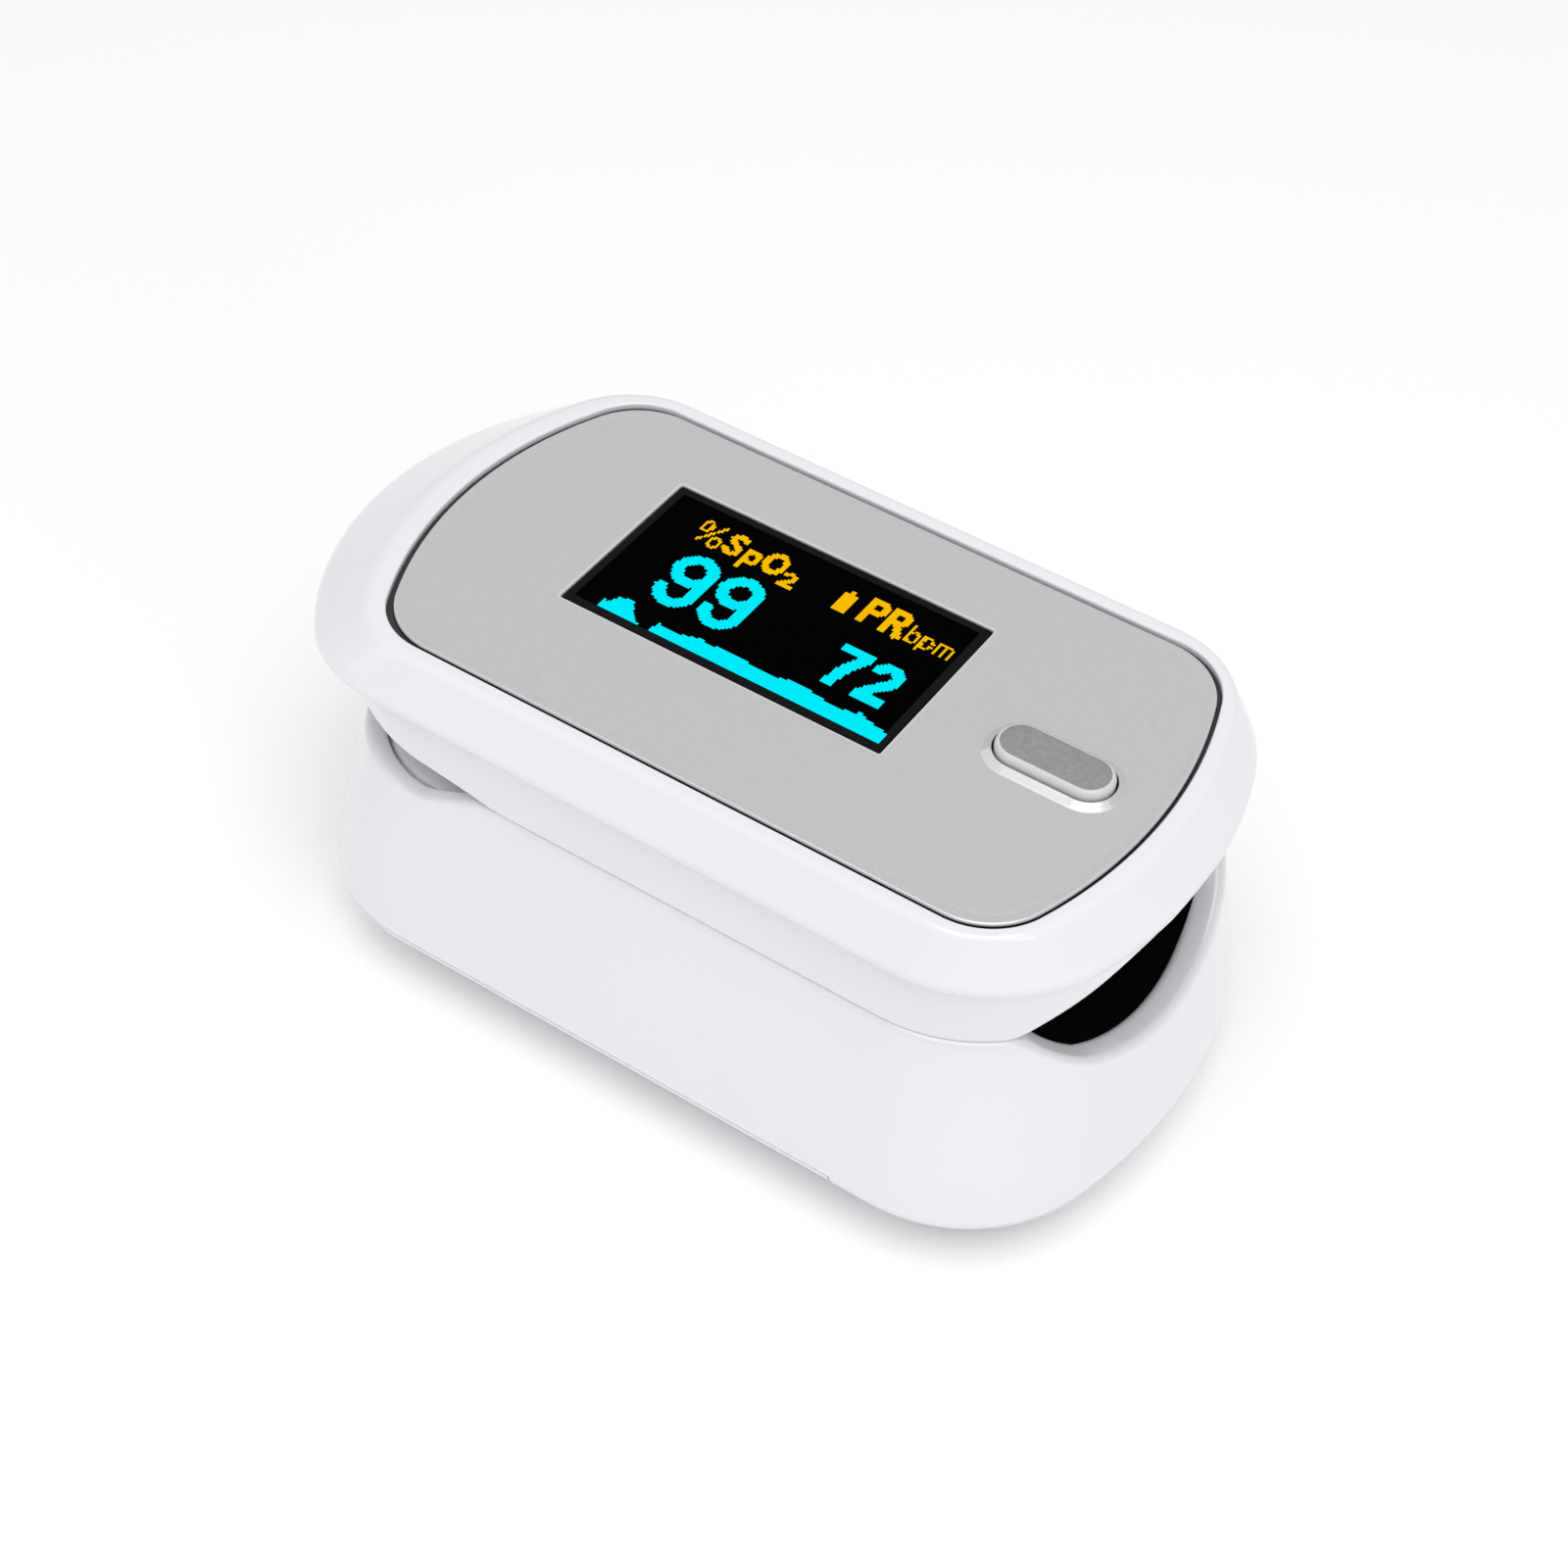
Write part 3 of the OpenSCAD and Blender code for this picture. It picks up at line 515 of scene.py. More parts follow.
def build_cover():
    """The gloss cover: a bevelled ring with a recess for the plate and an open deck."""
    deck = TOP - 0.6
    ceiling = deck - 1.0
    lip = TOP + 0.12
    recess = inset(PLATE_O, 0.02)
    corners = [
        (inset(PARTING_O, WALL), PARTING, 0), (PARTING_O, PARTING, 0.3),
        (inset(WIDE_O, -0.12), WIDE, 0.7), (LIP_O, lip, 0.45),
        (recess, lip, 0.22), (recess, deck, 0), (HATCH_O, deck, 0),
        (HATCH_O, ceiling, 0), (inset(mix(WIDE_O, LIP_O, 0.7), WALL + 0.6), ceiling, 0),
        (inset(PARTING_O, WALL), WIDE, 0),
    ]
    points = [[*o[:2], *o[3:], o[2], z] for o, z, _ in corners]
    path = rounded(points, [r for _, _, r in corners], 7)
    rows = [ring([*p[:2], p[-2], *p[2:-2]], p[-1]) for p in path]
    rows = spread(rows, 1.2)
    verts = np.vstack(rows)
    front = verts[:, 0] > HALF_L - 8
    fade = np.clip((28 - verts[:, 2]) / 2.2, 0, 1)
    lift = np.maximum(upper_rim(verts[:, :2]) - PARTING, 0) * fade
    verts[:, 2] += np.where(front, np.minimum(lift, 0.32), 0)
    n = len(rows[0])
    obj = mesh_object("cover_shell", verts, tube_faces(len(rows), n, True))
    material_slot(obj, white)
    even_normals(obj)
    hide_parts("top_cover")
    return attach(obj, "upper_jaw")


def spread(rows, step):
    """Rows with extra ones put in wherever two neighbours are far apart."""
    out = [rows[0]]
    for a, b in zip(rows, rows[1:]):
        gap = np.linalg.norm(b - a, axis=1).max()
        parts = min(max(int(math.ceil(gap / step)), 1), 8)
        for k in range(1, parts + 1):
            out.append(a + (b - a) * k / parts)
    return out


build_cover()


# ---------------------------------------------------------------- skirt of the upper jaw

def build_skirt():
    """The outer wall of the upper frame, with a rounded lower edge."""
    wall = Wall([(mix(inset(RIM_O, 0.22), inset(PARTING_O, 0.5), t), SPLIT + (PARTING - SPLIT) * t)
                 for t in np.linspace(0, 1, 7)], WALL - 0.22)
    wall.flush = 0.42
    places = wall.row(np.full(len(wall.outer[0]), SPLIT + 1.0), 0.0)
    top = np.where(places[:, 0] > MOUTH_X,
                   np.clip(upper_rim(places[:, :2]), PARTING, PARTING + 0.3), PARTING) - 0.02
    low = np.minimum(upper_rim(places[:, :2]), top - 0.06)
    r, thick = 0.15, WALL - 0.22
    section = [(thick, 1.0, 0.0), (thick, 0.5, 0.0)]
    section += [(thick - r + r * math.cos(a), 0.0, r - r * math.sin(a))
                for a in np.linspace(0, math.pi / 2, 6)]
    section += [(r - r * math.sin(a), 0.0, r - r * math.cos(a))
                for a in np.linspace(0, math.pi / 2, 6)]
    section += [(0.0, s, 0.0) for s in (0.2, 0.4, 0.6, 0.8, 1.0)]
    rows = []
    for depth, share, lift in section:
        lift = np.minimum(lift, (top - low) * 0.45)
        z = low + lift + share * (top - low - lift)
        rows.append(wall.row(z, depth))
    return np.vstack(rows), tube_faces(len(rows), len(top), True)


def inner_part(node, levels):
    """A CAD node cut down to what lies inside some levels, as a welded copy."""
    verts = np.vstack([ring(o, z) for o, z in levels])
    n = len(verts) // len(levels)
    faces = tube_faces(len(levels), n)
    faces += [tuple(range(n))[::-1], tuple(range(len(verts) - n, len(verts)))]
    cutter = mesh_object("cutter", verts, faces)
    bm = bmesh.new()
    bm.from_mesh(nodes[node].data)
    bmesh.ops.remove_doubles(bm, verts=bm.verts, dist=2e-7)
    part = from_bmesh("part", bm)
    cut = part.modifiers.new("cut", "BOOLEAN")
    cut.operation, cut.solver, cut.object = "INTERSECT", "EXACT", cutter
    dg = bpy.context.evaluated_depsgraph_get()
    mesh = bpy.data.meshes.new_from_object(part.evaluated_get(dg))
    for o in (part, cutter):
        bpy.data.objects.remove(o)
    return mesh


def build_upper_frame():
    """The skirt outside, and the CAD's own ribs and bosses inside it."""
    verts, faces = build_skirt()
    obj = mesh_object("upper_frame_shell", verts, faces)
    inside = inner_part("upper_frame", [
        (inset(RIM_O, WALL - 0.2), SPLIT - 6),
        (inset(RIM_O, WALL - 0.2), SPLIT),
        (inset(PARTING_O, WALL + 0.1), PARTING + 1)])
    bm = bmesh.new()
    bm.from_mesh(obj.data)
    bm.from_mesh(inside)
    for f in bm.faces:
        f.smooth = True
    bm.to_mesh(obj.data)
    bm.free()
    obj.data.set_sharp_from_angle(angle=math.radians(SHARP))
    material_slot(obj, white)
    even_normals(obj)
    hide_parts("upper_frame")
    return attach(obj, "upper_jaw")


build_upper_frame()


# ---------------------------------------------------------------- lower case and battery cover

def body_levels():
    """Levels of the lower jaw: an eased foot, a chamfer out to the belly, and the side."""
    toe = [(a, 0.55 * (1 - math.cos(a * math.pi / 2))) for a in np.linspace(0, 1, 6)]
    foot = [(mix(inset(FOOT_O, 0.75), FOOT_O, a), z) for a, z in toe[:-1]]
    foot += [(mix(FOOT_O, BELLY_O, t ** 0.92), BELLY * t) for t in np.linspace(0.11, 0.93, 9)]
    for a in np.linspace(0, 1, 6):
        foot.append((inset(BELLY_O, 0.30 * (1 - a) ** 2 + 0.04),
                     BELLY * 0.95 + (BELLY * 0.05 + 0.5) * a))
    side = [(mix(BELLY_O, RIM_O, t ** 1.25), BELLY + (SPLIT - BELLY) * t)
            for t in np.linspace(0.08, 1, 22)]
    return foot + side


def cup(wall, rim, heights, r, floor):
    """A cup: up the outside, over the rounded rim, down the inside, and a flat floor."""
    n = len(rim)
    rows = [wall.row(np.full(n, z), 0.0) for z in heights if z < heights[-1]]
    top_start = heights[-1]
    for s in np.linspace(0, 1, 14):
        rows.append(wall.row(top_start + (rim - r - top_start) * s, 0.0))
    for a in np.linspace(0, math.pi / 2, 6)[1:]:
        rows.append(wall.row(rim - r + r * math.sin(a), r - r * math.cos(a)))
    for a in np.linspace(0, math.pi / 2, 6):
        rows.append(wall.row(rim - r + r * math.cos(a), wall.thickness - r + r * math.sin(a)))
    for s in np.linspace(0, 1, 8)[1:]:
        rows.append(wall.row(rim - r + (floor - rim + r) * s, wall.thickness))
    verts = np.vstack(rows)
    faces = tube_faces(len(rows), n)
    faces += [tuple(range(n))[::-1], tuple(range(len(verts) - n, len(verts)))]
    return verts, faces


def cut_away(obj, low, high, operation="DIFFERENCE"):
    """Takes a box away from a piece, or keeps only what is in it."""
    x, y, z = zip(low, high)
    corners = [(a, b, c) for a in x for b in y for c in z]
    sides = [(0, 1, 3, 2), (4, 6, 7, 5), (0, 4, 5, 1), (2, 3, 7, 6), (0, 2, 6, 4), (1, 5, 7, 3)]
    cutter = mesh_object("cutter", corners, sides)
    cut = obj.modifiers.new("cut", "BOOLEAN")
    cut.operation, cut.solver, cut.object = operation, "EXACT", cutter
    dg = bpy.context.evaluated_depsgraph_get()
    mesh = bpy.data.meshes.new_from_object(obj.evaluated_get(dg))
    obj.modifiers.remove(cut)
    obj.data = mesh
    bpy.data.objects.remove(cutter)
    obj.data.set_sharp_from_angle(angle=math.radians(SHARP))


def build_lower_case():
    """The lower shell, less the room of the battery cover."""
    levels = body_levels()
    wall = Wall(levels, WALL)
    wall.lip = LIP_EXTRA
    places = wall.row(np.full(len(wall.outer[0]), SPLIT - 1.0), 0.0)
    rim = lower_rim(places[:, :2])
    heights = [z for _, z in levels if z < 8.2]
    verts, faces = cup(wall, rim, heights, 0.45, FLOOR)
    case = mesh_object("lower_shell", verts, faces)
    cut_away(case, (-50, -30, -1), (SEAM_X, 30, SEAM_Z))
    material_slot(case, white)
    even_normals(case)
    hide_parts("lower_case")
    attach(case, "lower_jaw")
    return levels


def build_battery_cover(levels):
    """The sliding tray: the foot of the lower jaw below the seam."""
    wall = Wall(levels, WALL)
    n = len(wall.outer[0])
    top = SEAM_Z - 0.17
    heights = [z for _, z in levels if z < 3.4]
    verts, faces = cup(wall, np.full(n, top), heights, 0.12, FLOOR)
    cover = mesh_object("battery_door", verts, faces)
    cut_away(cover, (-50, -30, -1), (SEAM_X - 0.15, 30, 20), "INTERSECT")
    material_slot(cover, white)
    even_normals(cover)
    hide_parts("battery_cover")
    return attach(cover, "cover")


build_battery_cover(build_lower_case())


def build_seal(name, outer, inner, low, high, finish, body_name):
    """A flat moulded ring between two outlines."""
    section = [(outer, low), (outer, high - 0.08), (inset(outer, 0.06), high),
               (inset(inner, -0.06), high), (inner, high - 0.08), (inner, low)]
    rows = [ring(o, z) for o, z in section]
    obj = mesh_object(name, np.vstack(rows), tube_faces(len(rows), len(rows[0]), True))
    material_slot(obj, finish)
    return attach(obj, body_name)


# A black ring low in the gap round the plate: painted shade that darkens the gap.
build_seal("plate_gap_shade_ring", inset(PLATE_O, 0.03), FACE_O, TOP - 0.59, TOP - 0.30,
           painted_gap_shade, "upper_jaw")


# ---------------------------------------------------------------- face plate

def pill(length, width, n=20):
    """A slot shape round the origin, counter-clockwise."""
    r, reach = width / 2, (length - width) / 2
    a = np.linspace(-math.pi / 2, math.pi / 2, n)
    right = np.c_[reach + r * np.cos(a), r * np.sin(a)]
    return np.vstack([right, -right])


def box_loop(length, width, r, n=5):
    """A rectangle with rounded corners round the origin, counter-clockwise."""
    out = []
    for k, (sx, sy) in enumerate(((1, 1), (-1, 1), (-1, -1), (1, -1))):
        a = np.linspace(k * math.pi / 2, (k + 1) * math.pi / 2, n)
        out.append(np.c_[sx * (length / 2 - r) + r * np.cos(a),
                         sy * (width / 2 - r) + r * np.sin(a)])
    return np.vstack(out)


def flat_rings(loops):
    """Rows of points from flat loops of equal length and their heights."""
    return [np.c_[loop, np.full(len(loop), z)] for loop, z in loops]


button_x = (button_low[0] + button_high[0]) / 2
window_mid = (window_low + window_high) / 2
window_size = window_high - window_low
button_size = (8.3, 3.5)


def build_plate():
    """Silver plate: a polished edge band, painted lighter as a painted highlight, a satin face, a
    window and a collar for the button. Its side and the walls down into the button hole are painted
    near-black as painted shade, and the collar's near side is painted lighter as a painted
    highlight.
    """
    low, top = TOP - 0.58, TOP
    edge = [(0.0, low), (0.0, top - 0.16), (0.05, top - 0.05), (0.14, top), (0.62, top),
            (0.70, top - 0.02), (0.78, top - 0.02), (0.86, top)]
    outer = flat_rings([(outline(inset(FACE_O, d)), z) for d, z in edge])
    wx, wy = window_size[0] + 0.1, window_size[1] + 0.1
    hole = [(0.24, top), (0.06, top - 0.05), (0.0, top - 0.2), (0.0, low)]
    window = flat_rings([(box_loop(wx + 2 * d, wy + 2 * d, 0.1 + d) + window_mid[:2], z)
                         for d, z in hole])
    collar = [(0.78, top), (0.72, top + 0.02), (0.62, top + 0.08), (0.28, top + 0.30),
              (0.22, top + 0.33), (0.16, top + 0.33), (0.11, top + 0.27), (0.09, low)]
    slot = flat_rings([(pill(button_size[0] + 2 * d, button_size[1] + 2 * d) + [button_x, 0], z)
                       for d, z in collar])
    verts, faces, kinds = [], [], []
    # Finishes by row: painted gap shade on the plate's side and the button hole's inner wall, the
    # polished edge with its painted highlight on the bevels and round the window, and a painted
    # highlight on the collar's near side only.
    for rows, finish in ((outer, lambda j, y: 2 if j < 1 else 1 if j < 3 else 0),
                         (window, lambda j, y: 1),
                         (slot, lambda j, y: 2 if j > 4 else 3 if y < -1.2 else 0)):
        start = sum(len(v) for v in verts)
        n = len(rows[0])
        made = tube_faces(len(rows), n, start=start)
        faces += made
        ys = np.concatenate([r[:, 1] for r in rows])
        kinds += [finish(i // n, ys[i]) for i in range(len(made))]
        verts.append(np.vstack(rows))
    obj = mesh_object("face_plate", np.vstack(verts), faces, PLATE_SHARP, kinds)
    bm = bmesh.new()
    bm.from_mesh(obj.data)
    for height in (top, low):
        rims = [e for e in bm.edges if e.is_boundary
                and all(abs(v.co.z / MM - height) < 1e-4 for v in e.verts)]
        filled = bmesh.ops.triangle_fill(bm, use_beauty=True, use_dissolve=False, edges=rims)
        for f in filled["geom"]:
            if isinstance(f, bmesh.types.BMFace):
                f.smooth = True
    bmesh.ops.recalc_face_normals(bm, faces=bm.faces)
    bm.to_mesh(obj.data)
    bm.free()
    obj.data.set_sharp_from_angle(angle=math.radians(PLATE_SHARP))
    material_slot(obj, plate_face, polished_edge_highlight, painted_gap_shade, collar_painted_highlight)
    even_normals(obj)
    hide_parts("faceplate")
    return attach(obj, "upper_jaw")


build_plate()


# ---------------------------------------------------------------- power button

def build_button():
    """A stadium cap: a flange under the deck, a polished rim and a dished grained top."""
    top = button_high[2]
    flange = 1.8
    length, width = button_size
    profile = [(flange / 2, button_low[2]), (flange / 2, button_low[2] + 0.45),
               (0.0, button_low[2] + 0.45), (0.0, top - 0.50), (-0.03, top - 0.34),
               (-0.10, top - 0.20), (-0.20, top - 0.11), (-0.32, top - 0.06),
               (-0.44, top - 0.09), (-0.54, top - 0.05), (-0.9, top - 0.02), (-1.3, top)]
    rows = flat_rings([(pill(length + 2 * d, width + 2 * d, 24)
                        + [button_x, 0.16 if -0.9 < d < -0.34 else 0], z) for d, z in profile])
    n = len(rows[0])
    faces = tube_faces(len(rows), n)
    kinds = [0 if i // n < 7 else 1 for i in range(len(faces))]
    faces += [tuple(range(n))[::-1], tuple(range((len(rows) - 1) * n, len(rows) * n))]
    kinds += [0, 1]
    obj = mesh_object("button_cap", np.vstack(rows), faces, 40, kinds)
    material_slot(obj, button_rim, button_top)
    even_normals(obj)
    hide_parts("power_button")
    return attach(obj, "button")


build_button()


# ---------------------------------------------------------------- window and readout

def build_window():
    """A black pane with eased edges and a printed border, over its gasket."""
    low, top = window_low[2], TOP - 0.05
    pane = [(-0.04, low), (0.0, low + 0.06), (0.0, top - 0.04), (-0.04, top), (-0.60, top)]
    rows = flat_rings([(box_loop(window_size[0] + 2 * d, window_size[1] + 2 * d, 0.12)
                        + window_mid[:2], z) for d, z in pane])
    n = len(rows[0])
    faces = tube_faces(len(rows), n)
    kinds = [1] * len(faces) + [1, 0]
    faces += [tuple(range(n))[::-1], tuple(range((len(rows) - 1) * n, len(rows) * n))]
    obj = mesh_object("window_pane", np.vstack(rows), faces, material_of=kinds)
    material_slot(obj, glass, border_ink)
    even_normals(obj)
    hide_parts("display_window")
    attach(obj, "upper_jaw")

    g_low, g_top = gasket_low[2] + 0.01, gasket_high[2] - 0.01
    band = [(0.0, g_low), (0.0, g_top), (-0.5, g_top), (-0.5, g_low)]
    rows = flat_rings([(box_loop(window_size[0] + 2 * d, window_size[1] + 2 * d, 0.3)
                        + window_mid[:2], z) for d, z in band])
    mask = mesh_object("window_mask", np.vstack(rows), tube_faces(len(rows), len(rows[0]), True))
    material_slot(mask, mask_black)
    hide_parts("display_gasket")
    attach(mask, "upper_jaw")


build_window()

DOT = 0.1706                        # pitch of the display's dots
DOT_LEFT = window_mid[0] - 9.94
DOT_TOP = window_high[1] - 1.72


def arc(cx, cy, rx, ry, start, end, n=24):
    """Part of an ellipse as a line, in dots: angles in degrees, 0 to the right, 90 down."""
    a = np.radians(np.linspace(start, end, n))
    return [(cx + rx * math.cos(t), cy + ry * math.sin(t)) for t in a]


def nine(left):
    """The strokes of a 9, in dots from the left."""
    loop = arc(left + 9.4, 28.7, 6.9, 6.9, 0, 360, 40)
    hook = [(left + 16.3, 28.7)] + arc(left + 9.5, 41.4, 6.9, 7.1, 0, 180)
    return [(loop, 5.0), (hook, 5.0)]


CYAN_STROKES = nine(10.3) + nine(31.4) + [
    ([(89.5, 29.8), (103.1, 29.8)], 4.6),
    ([(101.0, 31.0), (97.6, 36.8), (95.4, 43.0), (94.5, 50.8)], 4.9),
    ([(106.9, 35.0), (107.5, 32.2), (109.5, 30.4), (111.7, 29.9), (114.1, 30.6), (115.8, 32.8),
      (115.9, 35.4), (114.6, 38.3), (111.6, 41.8), (108.8, 45.2), (107.0, 48.6)], 4.7),
    ([(104.6, 48.5), (118.3, 48.5)], 4.6),
]
AMBER_STROKES = [
    (arc(8.1, 3.7, 2.0, 3.0, 0, 360), 1.2), (arc(15.4, 10.4, 2.0, 3.1, 0, 360), 1.2),
    ([(15.9, 0.2), (8.2, 13.0)], 1.2),
    ([(26.4, 3.9), (25.6, 2.0), (23.4, 1.2), (21.2, 2.0), (20.7, 3.7), (21.4, 5.2), (23.4, 6.4),
      (25.4, 7.6), (26.1, 9.3), (25.3, 11.2), (23.2, 12.0), (21.0, 11.2), (20.3, 9.1)], 2.5),
    ([(29.9, 4.8), (29.9, 17.1)], 2.6), (arc(32.6, 9.1, 2.7, 3.2, 0, 360), 2.4),
    (arc(42.3, 6.6, 3.8, 5.2, 0, 360), 2.6),
    ([(48.9, 9.9), (49.5, 8.6), (51.2, 8.1), (52.8, 8.9), (53.1, 10.2), (52.3, 11.8), (50.6, 13.4),
      (49.2, 15.0)], 2.0), ([(48.0, 15.2), (54.5, 15.2)], 2.0),
    ([(76.0, 4.4), (76.0, 15.2)], 6.4), ([(76.3, 2.1), (76.3, 4.6)], 2.4),
    ([(85.4, 0.0), (85.4, 15.2)], 3.2),
    ([(85.4, 1.5)] + arc(89.3, 4.5, 2.4, 3.0, -90, 90) + [(85.4, 7.5)], 3.0),
    ([(95.5, 0.0), (95.5, 15.2)], 3.2),
    ([(95.5, 1.5)] + arc(99.4, 4.4, 2.4, 2.9, -90, 90) + [(95.5, 7.3)], 3.0),
    ([(99.0, 7.6), (102.6, 15.2)], 3.2),
    ([(105.3, 3.7), (105.3, 14.2)], 1.1), (arc(107.7, 10.8, 2.2, 3.0, 0, 360), 1.1),
    ([(111.8, 7.0), (111.8, 16.3)], 1.1), (arc(114.0, 10.5, 2.1, 3.1, 0, 360), 1.1),
    ([(118.6, 7.2), (118.6, 14.3)], 1.1),
    ([(118.6, 9.0)] + arc(120.0, 8.8, 1.4, 1.4, 180, 360, 10) + [(121.4, 14.3)], 1.1),
    ([(121.4, 9.0)] + arc(122.8, 8.8, 1.4, 1.4, 180, 360, 10) + [(124.2, 14.3)], 1.1),
]
PULSE_LEFT = [(0, 60.7), (1.9, 62), (4.7, 57.1), (8.4, 56), (9.9, 55.5), (13.6, 60.7),
              (16.2, 63.9), (18.8, 65.7)]
PULSE_RIGHT = [(24.1, 65), (24.9, 60), (27.2, 61), (34.6, 60.9), (38.7, 59.7), (43.5, 58.1),
               (47.1, 59.2), (51.3, 58.1), (63.9, 57.8), (66, 59), (78, 59), (81.7, 57.6),
               (83.8, 57.1), (91.1, 56.9), (94.2, 57.9), (97.4, 57.9), (99.5, 59), (107.3, 59),
               (110, 57.8), (112.6, 57.6), (113.6, 55.7), (115.7, 57.1), (119.4, 58.1),
               (123.6, 59.2), (128, 59.7)]


def lit_by(points, line, width):
    """Which points lie in a stroke of a width along a line, cut square at both ends."""
    line = np.array(line, float)
    inside = np.zeros(len(points), bool)
    last = len(line) - 2
    for k, (a, b) in enumerate(zip(line, line[1:])):
        d = b - a
        t = ((points - a) @ d) / max(d @ d, 1e-9)
        near = np.linalg.norm(points - a - np.clip(t, 0, 1)[:, None] * d, axis=1) <= width / 2
        if k == 0:
            near &= t >= 0
        if k == last:
            near &= t <= 1
        inside |= near
    return inside


def dots(columns=128, rows=67):
    """The middles of the display's dots."""
    x, y = np.meshgrid(np.arange(columns) + 0.5, np.arange(rows) + 0.5)
    return np.c_[x.ravel(), y.ravel()]


def dot_tree(material):
    """A small square on every point, with its size set from outside."""
    tree = bpy.data.node_groups.new("display_dots", "GeometryNodeTree")
    face = tree.interface
    face.new_socket("Geometry", in_out="INPUT", socket_type="NodeSocketGeometry")
    size = face.new_socket("Dot size", in_out="INPUT", socket_type="NodeSocketFloat")
    face.new_socket("Geometry", in_out="OUTPUT", socket_type="NodeSocketGeometry")
    new = tree.nodes.new
    start, end = new("NodeGroupInput"), new("NodeGroupOutput")
    square = new("GeometryNodeMeshGrid")
    square.inputs["Vertices X"].default_value = 2
    square.inputs["Vertices Y"].default_value = 2
    instance, real, paint = (new("GeometryNodeInstanceOnPoints"),
                             new("GeometryNodeRealizeInstances"), new("GeometryNodeSetMaterial"))
    paint.inputs["Material"].default_value = material
    link = tree.links.new
    link(start.outputs["Dot size"], square.inputs["Size X"])
    link(start.outputs["Dot size"], square.inputs["Size Y"])
    link(start.outputs["Geometry"], instance.inputs["Points"])
    link(square.outputs["Mesh"], instance.inputs["Instance"])
    link(instance.outputs["Instances"], real.inputs["Geometry"])
    link(real.outputs["Geometry"], paint.inputs["Geometry"])
    link(paint.outputs["Geometry"], end.inputs["Geometry"])
    return tree, size.identifier


def grown(obj, tree, values):
    """Runs a Geometry Nodes tree on a piece and keeps the plain mesh that it makes."""
    modifier = obj.modifiers.new("nodes", "NODES")
    modifier.node_group = tree
    for identifier, value in values.items():
        modifier[identifier] = value
    dg = bpy.context.evaluated_depsgraph_get()
    mesh = bpy.data.meshes.new_from_object(obj.evaluated_get(dg))
    obj.modifiers.remove(modifier)
    obj.data = mesh
    return obj


def build_readout(name, points, material):
    """The lit dots of one colour, just above the window."""
    z = TOP - 0.038
    verts = np.c_[DOT_LEFT + points[:, 0] * DOT, DOT_TOP - points[:, 1] * DOT,
                  np.full(len(points), z)]
    obj = mesh_object(name, verts, [])
    tree, size = dot_tree(material)
    grown(obj, tree, {size: DOT * 0.97 * MM})
    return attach(obj, "upper_jaw")


grid = dots()
amber_on = np.any([lit_by(grid, line, w) for line, w in AMBER_STROKES], axis=0)
cyan_on = np.any([lit_by(grid, line, w) for line, w in CYAN_STROKES], axis=0)
for curve in (PULSE_LEFT, PULSE_RIGHT):
    xs, ys = zip(*curve)
    height = np.interp(grid[:, 0], xs, ys)
    cyan_on |= ((grid[:, 0] > xs[0]) & (grid[:, 0] < xs[-1]) & (grid[:, 1] > height)
                & (grid[:, 1] < 66))
build_readout("readout_amber", grid[amber_on], amber)
build_readout("readout_cyan", grid[cyan_on], cyan)


# ---------------------------------------------------------------- silicone pads

def pad_section(half, depth, edge, reach, n=26):
    """Across a pad from its middle outwards: an arc, then a flat flange."""
    r = mouth_radius(half, depth)
    stop = math.sqrt(max(r * r - (r - depth + edge) ** 2, 0.1))
    a = np.linspace(0, math.asin(min(stop / r, 1)), n)
    arch = np.c_[r * np.sin(a), r - r * np.cos(a)]
    flange = np.c_[np.linspace(stop, reach, 9)[1:], np.full(8, depth - edge)]
    line = np.vstack([arch, flange])
    return np.vstack([line[:0:-1] * [-1, 1], line])


def end_wall(base, up, half, depth, edge, x_back, rise, start):
    """The stop for a fingertip: a wall that closes the inner end of the channel."""
    r = mouth_radius(half + 0.3, depth + 0.3)
    level = depth - edge + 0.3 + rise
    stop = math.acos(max(1 - level / r, -0.2))
    a = np.linspace(-stop, stop, 41)
    n = len(a)
    rows = [np.c_[np.full(n, x), r * np.sin(a), base - 0.3 * up + up * (r - r * np.cos(a))]
            for x in (x_back, x_back + PAD_T)]
    faces = tube_faces(2, n, start=start)
    faces += [tuple(range(start, start + n))[::-1], tuple(range(start + n, start + 2 * n))]
    return np.vstack(rows), faces


